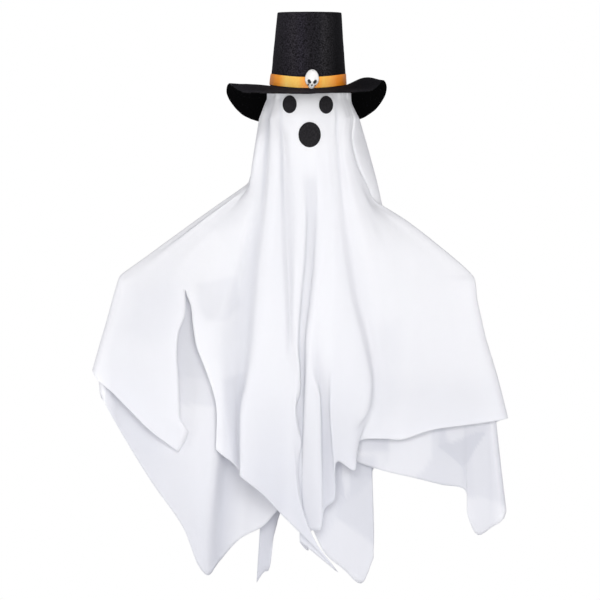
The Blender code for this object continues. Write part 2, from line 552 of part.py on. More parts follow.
def cover_radius(layers):
    """Radius of the outer face of a cloth layer on the head: 1 is the under sheet, 2 the outer."""
    return HEAD_RADIUS + layers * (HEAD_EASE + CLOTH)


def head_centre():
    """The middle of the head, which sits where its cover meets the lowest edge of the brim's hole."""
    hole_underside = crown_foot(0) - GAP - FELT
    rise = math.sqrt(cover_radius(2) ** 2 - (BRIM_HOLE_RADIUS - FELT) ** 2)
    return Vector((CROWN_LEAN, 0, hole_underside - rise + HAT_SETTLE))


def grid_point(across, down, depth):
    """A point of the cloth's drawing grid, hung from the head's centre."""
    x = (across - MIDDLE_COLUMN) * COLUMN
    z = head_centre().z - (down - HEAD_ROW) * ROW
    return Vector((x, depth * MM, z))


def wire_points():
    """The arm wire's centre line, bend by bend."""
    points = [grid_point(*corner, 0) for corner in (*WIRE_LEFT, *WIRE_NECK, *WIRE_RIGHT)]
    points[0] = points[0].lerp(points[1], WIRE_END)
    points[-1] = points[-1].lerp(points[-2], WIRE_END)
    return [point - Vector((0, 0, WIRE_DROP)) for point in points]


def tube(name, points, radius, group):
    curve = bpy.data.curves.new(name, "CURVE")
    curve.dimensions = "3D"
    curve.bevel_depth = radius
    curve.bevel_resolution = 1
    curve.resolution_u = 1
    curve.render_resolution_u = 0
    curve.use_fill_caps = True
    spline = curve.splines.new("POLY")
    spline.points.add(len(points) - 1)
    for point, place in zip(spline.points, points):
        point.co = (*place, 1)
    wire = bpy.data.objects.new(name, curve)
    group.objects.link(wire)
    return wire


def solid_tube(name, points, radius, group):
    """A tube as a closed mesh, ready to cut with."""
    curve = tube(name + "_curve", points, radius, group)
    graph = bpy.context.evaluated_depsgraph_get()
    mesh = bpy.data.meshes.new_from_object(curve.evaluated_get(graph))
    bpy.data.objects.remove(curve, do_unlink=True)
    bm = bmesh.new()
    bm.from_mesh(mesh)
    bmesh.ops.remove_doubles(bm, verts=bm.verts, dist=0.00001)
    bm.to_mesh(mesh)
    bm.free()
    solid = bpy.data.objects.new(name, mesh)
    group.objects.link(solid)
    return solid


def build_head(material, group, cutters):
    bm = bmesh.new()
    bmesh.ops.create_uvsphere(bm, u_segments=24, v_segments=14, radius=HEAD_RADIUS)
    head = add_object("head_ball", mesh_from_bmesh(bm, "head_ball"), material, group)
    head.location = head_centre()
    cutter = solid_tube("wire_hole", wire_points(), WIRE_RADIUS + GAP, cutters)
    cutter.hide_render = True
    cutter.display_type = "WIRE"
    hole = head.modifiers.new("wire_hole", "BOOLEAN")
    hole.operation = "DIFFERENCE"
    hole.object = cutter


def build_wire(material, group):
    wire = tube("arm_wire", wire_points(), WIRE_RADIUS, group)
    wire.data.materials.append(material)


# Sheets


def arm_ribs(arm, tip, neck, layers, side):
    """Three lines along an arm's top: front shoulder, edge and back shoulder.

    side is -1 for the left arm on the drawing and 1 for the right one. neck holds the head points of
    the three lines, and tip the points of the free edge below the arm's end.
    """
    cover = WIRE_RADIUS + layers * (ARM_EASE + CLOTH)
    places = [grid_point(*corner, 0) for corner in arm]
    if side < 0:
        places.reverse()
    edge = []
    for i, place in enumerate(places):
        ahead = places[min(i + 1, len(places) - 1)]
        behind = places[max(i - 1, 0)]
        along = (ahead - behind).normalized()
        edge.append(place + Vector((-along.z * side, 0, along.x * side)) * cover)
    spread = cover * 1.75
    lines = []
    for turn, depth in ((-1, -cover), (0, 0), (1, cover)):
        inward = Vector((-side * spread * abs(turn), depth, 0))
        line = [grid_point(*point) for point in neck[turn + 1]]
        line += [place + inward for place in edge]
        low = line[-1].z
        for i, point in enumerate(tip):
            place = grid_point(*point)
            if turn:
                place.x -= side * HEM_TURN
                place.y = depth * (1.4 + 0.25 * i)
            if place.z < low - 0.002:
                line.append(place)
        lines.append(line)
    return lines


class Rib:
    """One fold line of a sheet: where it leaves the head, and its points below."""

    def __init__(self, name, degrees, stand_off, points, layers):
        self.name = name
        turn = math.radians(degrees)
        self.out = Vector((math.sin(turn), -math.cos(turn), 0))
        self.stand_off = stand_off * MM
        self.cover = cover_radius(layers)
        self.centre = head_centre()
        self.points = [self.on_head(90), *points]
        if layers == 1:
            chin = self.centre + self.out * (self.cover - CHIN_TUCK)
            chin.z = grid_point(0, CHIN_ROW, 0).z
            self.points.insert(1, chin)
        self.depths = [-point.z for point in self.points]

    def on_head(self, angle):
        """The point on the covered head this many degrees down from its top."""
        bulge = min(max((angle - 52) / 38, 0), 1) ** 1.2
        lean = math.radians(angle)
        radius = self.cover * math.sin(lean) + self.stand_off * bulge
        return self.centre + self.out * radius + Vector((0, 0, self.cover * math.cos(lean)))

    def at(self, height):
        x = smooth_value(self.depths, [point.x for point in self.points], -height)
        y = smooth_value(self.depths, [point.y for point in self.points], -height)
        return Vector((x, y, height))

    def column(self):
        """All the points of the line from the head's top to the hem."""
        points = [self.on_head(angle) for angle in HEAD_ANGLES]
        for level in LEVELS:
            points.append(self.at(grid_point(0, level, 0).z))
        start = points[-1].z
        hem = self.points[-1].z
        for share in HEM_SHARES:
            points.append(self.at(start + (hem - start) * share))
        return points


def table_ribs(table, layers):
    ribs = []
    for name, degrees, stand_off, points in table:
        places = [grid_point(*point) for point in points]
        ribs.append(Rib(name, degrees, stand_off, places, layers))
    return ribs


def sheet_ribs(front, back, tips, necks, layers):
    """The ribs of a sheet in order round it: left edge, front, right edge, back."""
    left = arm_ribs(WIRE_LEFT, tips[0], necks[0], layers, -1)
    right = arm_ribs(WIRE_RIGHT[layers - 1:], tips[1], necks[1], layers, 1)
    stand_off = 5 if layers == 2 else 0
    left_turns = (-98, -100, -102) if layers == 2 else (-101, -103, -105)
    right_turns = (63, 66, 69) if layers == 2 else (96, 98, 100)
    edges = {}
    for side, lines, turns in (("left", left, left_turns), ("right", right, right_turns)):
        for part, line, degrees in zip(("front", "edge", "back"), lines, turns):
            edges[side + "_" + part] = Rib(side + "_" + part, degrees, stand_off, line, layers)
    ribs = [edges["left_edge"], edges["left_front"], *table_ribs(front, layers)]
    ribs += [edges["right_front"], edges["right_edge"], edges["right_back"]]
    ribs += [*table_ribs(back, layers), edges["left_back"]]
    return ribs


def build_sheet(name, ribs, slits, wide, material, group):
    """A sheet as a net of quads through its ribs, open along its slits, then thickened inward.

    slits maps the rib left of each slit to the level of its top. wide holds the ribs with an extra
    column after them.
    """
    columns = [rib.column() for rib in ribs]
    names = [rib.name for rib in ribs]
    count = len(ribs)
    rows = len(columns[0])
    slit_rows = {names.index(rib): len(HEAD_ANGLES) + LEVELS.index(level) for rib, level in slits.items()}
    for i, top_row in slit_rows.items():
        for row in range(top_row + 1):
            columns[i + 1][row] = columns[i][row]
    bm = bmesh.new()
    pole = bm.verts.new(columns[0][0])
    made = {}

    def neighbour(i, step, row):
        """The rib point next to rib i, or one mirrored through it at an open slit."""
        cut = i if step > 0 else (i - 1) % count
        if cut in slit_rows:
            if row > slit_rows[cut]:
                return 2 * columns[i][row] - columns[(i - step) % count][row]
            return columns[(i + 2 * step) % count][row]
        return columns[(i + step) % count][row]

    def vertex(i, part, row):
        i %= count
        if row == 0:
            return pole
        if part == 0 and (i - 1) % count in slit_rows and row <= slit_rows[(i - 1) % count]:
            i = (i - 1) % count
        if (i, part, row) not in made:
            place = columns[i][row]
            if part:
                j = (i + 1) % count
                place = between(neighbour(i, -1, row), columns[i][row], columns[j][row],
                                neighbour(j, 1, row), part)
            made[i, part, row] = bm.verts.new(place)
        return made[i, part, row]

    for i in range(count):
        if i in slit_rows:
            continue
        parts = [(i, 0), (i, 0.5), (i + 1, 0)] if names[i] in wide else [(i, 0), (i + 1, 0)]
        for (left, left_part), (right, right_part) in zip(parts, parts[1:]):
            for row in range(rows - 1):
                corners = [vertex(left, left_part, row), vertex(left, left_part, row + 1),
                           vertex(right, right_part, row + 1), vertex(right, right_part, row)]
                if row == 0:
                    corners.pop()
                bm.faces.new(corners)
    sheet = add_object(name, mesh_from_bmesh(bm, name), material, group)
    thicken(sheet, CLOTH, -1)
    return sheet


def build_sheets(material, group):
    outer_necks = (
        (((258, 140, 12), (254, 165, 6.5), (249.3, 182, -3)),
         ((258.5, 140, 14), (254.5, 165, 8), (248.6, 182, 0)),
         ((259, 140, 18), (255, 165, 12), (249.6, 182, 5))),
        (((350.8, 140, -41), (356.2, 165, -35), (365.7, 186, -20), (369.5, 196, -12), (374, 202.5, -8)),
         ((351, 140, -35), (356.6, 165, -28), (366.8, 186, -12), (371, 196, -6), (377, 202.5, -3)),
         ((350.3, 140, -27), (355.8, 165, -19), (366, 186, -5), (371, 196, 0), (377, 203, 3))),
    )
    under_necks = (
        (((257.3, 165, 4), (253.3, 182, -2.5)),
         ((256.5, 165, 8), (251.8, 182, 1)),
         ((257.6, 165, 12), (253.3, 182, 4.5))),
        (((351.6, 165, -1), (362.3, 184, -3.5)),
         ((352.6, 165, 3), (364.3, 184, 0)),
         ((351.8, 165, 8), (362, 184, 4))),
    )
    outer_ribs = sheet_ribs(
        OUTER_FRONT, OUTER_BACK, (LEFT_TIP_OUTER, RIGHT_TIP_OUTER), outer_necks, 2
    )
    under_ribs = sheet_ribs(
        UNDER_FRONT, UNDER_BACK, (LEFT_TIP_UNDER, RIGHT_TIP_UNDER), under_necks, 1
    )
    wraps = {"left_edge", "left_back", "right_front", "right_edge"}
    wide_outer = wraps | {"left_3", "right_1", "right_2", "right_3", "back_1", "back_11"}
    wide_under = wraps | {"under_right_4", "under_back_1"}
    outer = build_sheet("outer_sheet", outer_ribs, {"slit_left": 289}, wide_outer, material, group)
    slits = {"under_slit_left": 350, "tail_left": 350}
    build_sheet("under_sheet", under_ribs, slits, wide_under, material, group)
    return outer


# Face


def build_patch(name, centre, size, sheet, material, group):
    """A felt oval that follows the front of the outer sheet."""
    tree = BVHTree.FromPolygons(
        [vert.co for vert in sheet.data.vertices], [face.vertices[:] for face in sheet.data.polygons]
    )
    around = 24
    bm = bmesh.new()

    def on_cloth(x, z):
        hit = tree.ray_cast(Vector((x, -1, z)), Vector((0, 1, 0)))[0]
        if hit is None:
            hit = tree.find_nearest(Vector((x, 0, z)))[0]
        return Vector((x, hit.y - 3 * GAP, z))

    middle = bm.verts.new(on_cloth(centre.x, centre.z))
    rows = []
    for share in (0.4, 0.72, 1.0):
        row = []
        for i in range(around):
            turn = 2 * math.pi * i / around
            x = centre.x + share * size[0] / 2 * math.cos(turn)
            z = centre.z + share * size[1] / 2 * math.sin(turn)
            row.append(bm.verts.new(on_cloth(x, z)))
        rows.append(row)
    for i in range(around):
        j = (i + 1) % around
        bm.faces.new((middle, rows[0][i], rows[0][j]))
        for inner, outer in zip(rows, rows[1:]):
            bm.faces.new((inner[i], outer[i], outer[j], inner[j]))
    patch = add_object(name, mesh_from_bmesh(bm, name), material, group)
    thicken(patch, FACE_FELT, 1)


def build_face(sheet, material, group):
    for name, corner, size in (("left_eye", LEFT_EYE, EYE_SIZE), ("right_eye", RIGHT_EYE, EYE_SIZE),
                               ("mouth", MOUTH, MOUTH_SIZE)):
        build_patch(name, grid_point(*corner, 0), size, sheet, material, group)


def main():
    clear_scene()
    group = new_collection("hanging_ghost")
    cutters = new_collection("cutters")
    felt = principled("black_felt", (0.008, 0.008, 0.009), 0.95)
    face_felt = principled("face_felt", (0.006, 0.006, 0.007), 0.95)
    satin = principled("orange_satin", (0.9, 0.3, 0.02), 0.35)
    cloth = principled("white_cloth", (0.88, 0.88, 0.9), 0.85)
    foam = principled("white_foam", (0.85, 0.85, 0.83), 0.8)
    steel = principled("steel_wire", (0.5, 0.5, 0.5), 0.35)
    steel.node_tree.nodes["Principled BSDF"].inputs["Metallic"].default_value = 1
    plastic = principled("white_plastic", (0.86, 0.85, 0.83), 0.3)
    build_crown(felt, group)
    build_hat_top(felt, group)
    build_brim(felt, group)
    build_band(satin, group)
    build_charm(plastic, group, cutters)
    build_head(foam, group, cutters)
    build_wire(steel, group)
    outer = build_sheets(cloth, group)
    build_face(outer, face_felt, group)


main()
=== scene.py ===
"""A hanging ghost: draped white cloth over a ball and a bent wire, felt face, felt hat with a satin
ribbon and a small skull bead. Metres, +Z up, the ghost faces -Y, the origin is the hat's top.
"""

import math

import bmesh
import bpy
from mathutils import Matrix, Vector, noise
from mathutils.bvhtree import BVHTree


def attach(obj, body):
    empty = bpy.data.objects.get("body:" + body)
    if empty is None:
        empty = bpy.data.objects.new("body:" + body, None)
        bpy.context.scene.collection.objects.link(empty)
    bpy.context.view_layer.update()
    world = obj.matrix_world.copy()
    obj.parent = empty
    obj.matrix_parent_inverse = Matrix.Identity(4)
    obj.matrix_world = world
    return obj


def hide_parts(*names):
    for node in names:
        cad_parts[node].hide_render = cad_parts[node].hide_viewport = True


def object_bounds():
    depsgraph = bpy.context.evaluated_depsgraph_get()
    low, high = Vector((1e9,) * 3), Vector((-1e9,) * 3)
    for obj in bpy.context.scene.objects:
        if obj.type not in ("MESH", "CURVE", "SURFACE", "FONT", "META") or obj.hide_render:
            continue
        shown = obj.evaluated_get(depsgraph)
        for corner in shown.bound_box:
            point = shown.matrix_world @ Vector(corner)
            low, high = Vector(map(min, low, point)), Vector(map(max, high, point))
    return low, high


MM = 0.001
GAP = 0.3 * MM  # clearance that touching pieces keep

# Hat
CROWN_HEIGHT = 117 * MM  # to the brim at the sides
CROWN_TOP_RADIUS = 51.3 * MM
CROWN_BASE_RADIUS = 61 * MM
CROWN_LEAN = -2 * MM  # the base sits this far to the ghost's right of the top
SADDLE_DIP = 6.2 * MM  # the crown's foot is this much lower in front and behind
FELT = 1.5 * MM
BRIM_HOLE_RADIUS = 57.5 * MM
BAND_WIDTH = 17.5 * MM
RIBBON = 0.6 * MM

# Head, arms and cloth
HEAD_RADIUS = 68 * MM
WIRE_RADIUS = 1.3 * MM
CLOTH = 0.8 * MM
HEAD_EASE = 1.5 * MM  # slack between one cloth layer and what it covers on the head
ARM_EASE = 1.3 * MM  # and on the arm wire
HAT_SETTLE = 1.25 * MM  # how far the brim's hole settles down over the cloth

# At its sides the outer cloth stands out from the head where it leaves the brim
BRIM_SHOULDER = 61.5 * MM  # it is at least this far out there
SHOULDER_FOLDS = 0.75  # and a fold this share of its stand-off more
SHOULDER_FROM = 15  # degrees round from the front where this begins
SHOULDER_GROWTH = 25  # degrees over which it grows
SHOULDER_TO = 128  # degrees round where it ends
SHOULDER_FADE = 18  # degrees over which it fades before that
SHOULDER_TOP = 49.5  # degrees down from the head's top where it begins
SHOULDER_BEND = 5  # degrees over which it bends out
FOLDS_TOP = 52  # degrees down from the head's top where the folds begin
FOLDS_BEND = 38  # degrees over which they reach their stand-off

# The arms: 1 is the under sheet, 2 the outer. Each pair is the left arm, then the right.
SHOULDER_SPREAD = 1.75  # arm radii that its shoulder lines lie in from an arm's edge
TIP_INSET = 5  # grid squares that the shoulder lines lie in from the free edge below the tip
TIP_WIDTH = 1.4  # arm radii that they lie in front of and behind it
TIP_WIDENING = 0.25  # and this much more with each point down
TIP_STEP = 0.002  # a point of the free edge has to lie this far below the arm's end
ARM_HANG = {1: (11, 10), 2: (9, 1.5)}  # grid squares that they hang lower at the hem
ARM_STAND_OFF = {1: 0, 2: 5}
ARM_TURNS = {  # where front shoulder, edge and back shoulder leave the head
    1: ((-101, -103, -105), (96, 98, 100)),
    2: ((-98, -100, -102), (63, 66, 69)),
}

# Face and charm
FACE_FELT = 1.2 * MM
EYE_SIZE = (22.5 * MM, 28.8 * MM)
MOUTH_SIZE = (35.6 * MM, 40.4 * MM)
CHARM_WIDTH = 22.5 * MM
CHARM_HEIGHT = 31.5 * MM
CHARM_DEPTH = 15 * MM
CHARM_TURN = 5  # degrees round the hat from the front

# The cloth was drawn on a grid of small squares. Its fold lines are lists of (across, down, depth):
# grid squares across the front, grid squares down, and millimetres back from the arms' plane.
SQUARE = 1.6 * MM
MIDDLE_COLUMN = 309.5
HEAD_ROW = 118.6
CHIN_ROW = 140  # where the under sheet has drawn in below the head's middle
CHIN_TUCK = 3 * MM

# The brim's edge and middle ring: (degrees round from the front, radius, drop below the crown's foot)
BRIM_EDGE = (
    (0, 131, 14.5), (30, 131, 12), (50, 131, 9), (62, 128, 0), (72, 126, -8), (90, 125.7, 4),
    (102, 125.3, 17.4), (112, 124, 28.6), (123, 123.8, 40), (138, 122, 52.3), (160, 119, 57),
    (180, 118, 59), (200, 121, 58), (218, 126, 55.3), (230, 129, 49), (240, 129.5, 40),
    (258, 130.4, 20.4), (270, 131, 9), (285, 131, -2.4), (296, 131, 5), (306, 131, 11),
    (330, 131, 13.5),
)
BRIM_MIDDLE = (
    (0, 95, 12), (45, 95, 8.5), (70, 93, -11), (90, 93, -10), (110, 93, 7), (135, 93, 25),
    (180, 92, 31), (225, 95, 26), (250, 96, 10), (270, 96, 0), (290, 96, -1.5), (315, 95, 9.5),
)

# The arms' centre lines on the grid: the left one from its tip inward, the right one out to its tip
WIRE_LEFT = (
    (123, 277.8), (135, 269), (150, 258.2), (170, 243.6), (200, 221.8), (224, 204.8), (249, 187.2),
)
WIRE_RIGHT = (
    (370, 201.1), (384.5, 210.9), (402, 221.8), (420, 235.1), (440, 251.1), (458, 266.1), (470.2, 278),
)

# Fold lines of the outer sheet: name, degrees round the head from the front, stand-off there, points
LEFT_TIP_OUTER = ((118.4, 280, 0), (112.5, 300, 0), (107, 320, 0), (100.5, 342, 0), (92.5, 370.5, 0))
RIGHT_TIP_OUTER = (
    (475, 281, 0), (477.3, 300, 0), (481, 317, 0), (485, 335, 0), (490, 352, 0), (497, 375, 0),
    (508, 418, 0),
)
OUTER_SLIT_TOP = (
    (256.9, 140, 6), (253, 165, 0), (250.2, 184, -11), (239, 200, -14.5), (222, 220, -17),
    (188, 260, -22), (185.5, 289, -27),
)
OUTER_FRONT = (
    ("left_1", -96, 5, ((257.6, 140, 10), (253.7, 165, 5), (249.6, 184, -6.5), (230.5, 200, -10.5),
        (203.5, 220, -11), (155, 260, -11), (128, 289, -13), (119, 320, -17), (113, 350, -19),
        (112, 392, -20))),
    ("left_2", -94, 5, ((257.2, 140, 8), (253.4, 165, 3), (249.8, 184, -8.2), (234, 200, -12),
        (210, 220, -13), (166, 260, -15), (147, 289, -19), (139, 320, -23), (133, 350, -26),
        (128, 408, -27))),
    ("left_3", -93, 5, ((257, 140, 7), (253.2, 165, 2), (250, 184, -9.5), (236.5, 200, -13),
        (216, 220, -15), (177, 260, -18), (167, 289, -24), (162, 320, -28), (156, 350, -30),
        (150, 430, -30))),
    ("slit_left", -92, 5, (*OUTER_SLIT_TOP, (185.3, 314, -29), (179, 332, -29), (177, 355, -28),
        (178, 370, -28), (180, 405, -27), (181, 420, -26), (188, 432, -21), (179, 452, -18))),
    ("slit_right", -92, 5, (*OUTER_SLIT_TOP, (191, 306, -27), (193.3, 326, -30), (197, 347, -32),
        (206, 370, -33), (215, 398, -35), (217, 415, -35), (216, 449, -35))),
    ("left_swag", -89, 5, ((256.3, 140, -2), (252.6, 165, -9), (250, 184, -17), (242, 200, -21),
        (231, 220, -22), (214, 260, -23), (213, 285, -23), (212, 303, -25), (212, 324, -34),
        (213, 350, -35), (221, 400, -36), (224, 456, -35))),
    ("head_left_ridge", -76, 7, ((258, 140, -42), (254, 163, -39), (250.5, 183, -31), (249.5, 200, -33),
        (247, 220, -36), (240, 250, -34), (230, 289, -31), (224, 312, -33), (221, 340, -35),
        (225, 400, -37), (231, 461, -37))),
    ("left_valley", -60, 1, ((264, 140, -45), (261.3, 180, -45), (253.5, 220, -38), (246, 260, -31),
        (239, 300, -28), (236, 340, -29), (236, 400, -33), (238, 440, -35), (243, 474, -36))),
    ("left_valley_end", -55.5, 1.5, ((267.6, 140, -50), (266, 180, -52), (260.5, 220, -48),
        (254.5, 260, -43), (249.5, 300, -40), (247, 340, -41), (244, 380, -45), (242, 400, -47),
        (242, 440, -49), (246, 476, -51))),
    ("panel_left_edge", -50, 7, ((271.5, 140, -60.5), (269.3, 180, -61), (266, 220, -61),
        (262, 260, -61), (258.5, 300, -62), (255.5, 340, -64), (249, 380, -66), (243, 400, -66),
        (241, 418, -66), (240.5, 450, -68), (240, 475, -67))),
    ("panel_middle", -45, 6.5, ((276.5, 140, -65), (276, 180, -67), (274, 220, -69), (273, 260, -71),
        (272, 300, -73), (271, 350, -74), (264, 400, -74), (261, 450, -74), (262, 493, -71))),
    ("panel_inner_edge", -41, 3.5, ((279.3, 140, -64), (280, 180, -65), (280.7, 220, -66),
        (282, 260, -68), (284.3, 300, -70), (285, 345, -72), (284, 360, -73), (283, 400, -73),
        (281, 450, -74), (281, 513, -71))),
    ("face_left_valley", -37, 0, ((283, 140, -58), (284.5, 180, -58), (286.3, 220, -57),
        (287.8, 260, -58), (289.3, 300, -61), (290, 335, -63), (290.5, 352, -67), (291, 366, -72),
        (290.5, 400, -73), (288, 450, -74), (290, 522, -72))),
    ("face_left_ridge", -26, 0, ((291, 140, -66), (294, 180, -64), (297.5, 220, -65), (296, 260, -66),
        (294.3, 300, -66), (294, 340, -66), (296, 360, -67), (296.3, 378, -72), (295, 410, -72),
        (294, 450, -73), (295, 500, -73), (303, 535, -72))),
    ("panel_right_edge", -14, 0, ((299, 140, -69), (301.5, 180, -67), (304.7, 220, -65),
        (303.2, 260, -65), (299.5, 300, -65), (297, 345, -66), (299.5, 374, -68), (299.5, 392, -67),
        (293.5, 414, -66), (301, 440, -66), (297, 468, -67), (301, 503, -70), (318, 545, -72),
        (338, 571, -72))),
    ("valley_left", -7, 0, ((304.5, 140, -70.5), (307.3, 180, -65), (308.2, 220, -59),
        (306.6, 260, -57.5), (302.8, 300, -57.5), (299.9, 340, -59), (300.5, 380, -60),
        (299, 420, -59.5), (299, 460, -60), (299, 500, -60), (300, 541, -59))),
    ("valley_right", -1, 0, ((310.5, 140, -71.5), (314.3, 180, -65), (314.4, 220, -60),
        (312.4, 260, -58.5), (308.4, 300, -58.5), (304.6, 340, -60), (304, 380, -61), (303, 420, -59.5),
        (302.3, 460, -59.5), (302, 500, -53), (308, 550, -51))),
    ("strip_left_edge", 5, 0, ((315, 140, -71.5), (317, 180, -68), (317.4, 220, -66), (315.5, 260, -66),
        (311, 300, -67), (306.5, 338, -68), (306.8, 362, -69), (305.8, 390, -69), (304.3, 430, -65),
        (304, 500, -56), (311, 530, -54))),
    ("strip_right_edge", 13, 0, ((320.5, 140, -70), (322, 180, -69), (323, 220, -69), (320, 260, -71),
        (315, 300, -73), (310, 350, -73), (312, 375, -73), (317.5, 390, -73), (319.5, 402, -72),
        (319.5, 500, -62), (319.5, 530, -57))),
    ("strip_valley", 19, 0, ((325, 140, -69), (326, 180, -68), (327, 220, -70), (325, 260, -72),
        (321, 300, -73), (317, 350, -71), (319.5, 380, -66), (322, 410, -63), (324, 460, -60),
        (325, 508, -56))),
    ("strip_valley_end", 23, 0, ((328, 140, -67.5), (329.5, 180, -68), (330.5, 220, -70),
        (330, 260, -72), (328, 300, -74), (326, 350, -73), (327, 380, -68), (328, 410, -65),
        (332, 460, -61), (334, 500, -57))),
    ("front_right_ridge", 28, 0, ((330.5, 140, -65.5), (332.5, 180, -66), (335, 220, -69),
        (336, 260, -73), (337, 300, -75), (337, 350, -75), (333, 380, -73), (332, 410, -72),
        (335, 450, -70), (337, 461, -67))),
    ("front_right_edge", 34, 2, ((333, 140, -63.5), (335.7, 180, -63), (339, 220, -65), (344, 260, -67),
        (350, 300, -67), (360, 340, -67), (368.5, 380, -66), (368.8, 392, -66), (364, 415, -64),
        (354, 429, -61), (352, 443, -61), (354.5, 470, -60))),
    ("right_valley", 39, 0, ((337, 140, -57), (340.7, 180, -56.5), (346, 220, -54.5), (352, 260, -52),
        (359, 300, -48), (369, 340, -44), (374, 380, -41), (372, 410, -37), (364, 430, -36),
        (357, 442, -34))),
    ("right_ridge", 48, 6.5, ((342.5, 140, -58), (348.5, 180, -56), (358, 220, -53), (366, 260, -50),
        (374, 300, -46), (380, 340, -42), (384, 380, -38), (384, 438.5, -34))),
    ("right_1", 54, 6, ((346, 140, -55), (351.3, 165, -50), (356.5, 186, -46), (367, 220, -43),
        (382, 260, -38), (391, 300, -36), (396, 350, -31), (401, 439.5, -32))),
    ("right_2", 58, 6, ((348.3, 140, -51), (353.6, 165, -45), (360.5, 186, -37), (376, 220, -29),
        (401, 260, -24), (416, 300, -25), (423, 350, -25), (431, 430, -28))),
    ("right_3", 61, 5, ((349.8, 140, -46), (355, 165, -41), (363.5, 186, -28), (372, 204, -16),
        (389, 220, -12), (431, 260, -11), (449, 300, -16), (458, 350, -20), (470, 424.5, -21))),
)
OUTER_BACK = (
    ("back_1", 71, 7, ((353.5, 140, -32), (360, 165, -25), (368.5, 186, -10), (376, 204, 1),
        (393, 220, 11), (440, 260, 12), (452, 300, 17), (460, 350, 20), (470, 434, 22))),
    ("head_right_edge", 94, 9, ((365.5, 140, 12), (372.5, 165, 14), (378, 186, 15), (382, 204, 17),
        (388, 220, 18), (412, 260, 19), (424, 300, 24), (431, 350, 28), (443, 446, 30))),
    ("back_2", 116, 7, ((359, 140, 42), (365, 165, 44), (369, 186, 44), (374, 220, 42), (386, 260, 38),
        (393, 300, 40), (396, 350, 44), (400, 457, 46))),
    ("back_3", 135, 0, ((346, 140, 54), (350, 180, 50), (354, 220, 45), (360, 260, 41), (365, 300, 40),
        (367, 350, 42), (368, 468, 44))),
    ("back_4", 150, 6, ((334, 140, 68), (337, 180, 68), (340, 220, 67), (344, 260, 66), (346, 300, 68),
        (346, 350, 70), (345, 490, 72))),
    ("back_5", 165, 0, ((320, 140, 71), (322, 180, 62), (323, 220, 54), (324, 260, 49), (325, 300, 48),
        (325, 350, 50), (325, 500, 52))),
    ("back_6", 180, 4, ((307, 140, 77), (306, 180, 77), (305, 220, 76), (304, 260, 76), (303, 300, 77),
        (302, 350, 79), (300, 507, 80))),
    ("back_7", 196, 0, ((294, 140, 70), (291, 180, 60), (288, 220, 53), (285, 260, 48), (282, 300, 48),
        (279, 350, 50), (276, 492, 52))),
    ("back_8", 212, 6, ((281, 140, 66), (276, 180, 65), (271, 220, 62), (265, 260, 60), (260, 300, 62),
        (256, 350, 64), (250, 466, 66))),
    ("back_9", 228, 0, ((270, 140, 53), (263, 180, 46), (254, 220, 39), (244, 260, 35), (236, 300, 36),
        (232, 350, 38), (228, 430, 40))),
    ("back_10", 244, 6, ((262.5, 140, 38), (256, 176, 32), (242, 203, 28), (230, 220, 27),
        (212, 260, 28), (203, 300, 32), (200, 350, 35), (197, 405, 37))),
    ("back_11", 255, 6, ((259.5, 140, 24), (254.6, 170, 16), (250.5, 184, 9), (220, 220, 15),
        (176, 260, 18), (158, 300, 22), (152, 350, 25), (150, 402, 27))),
)

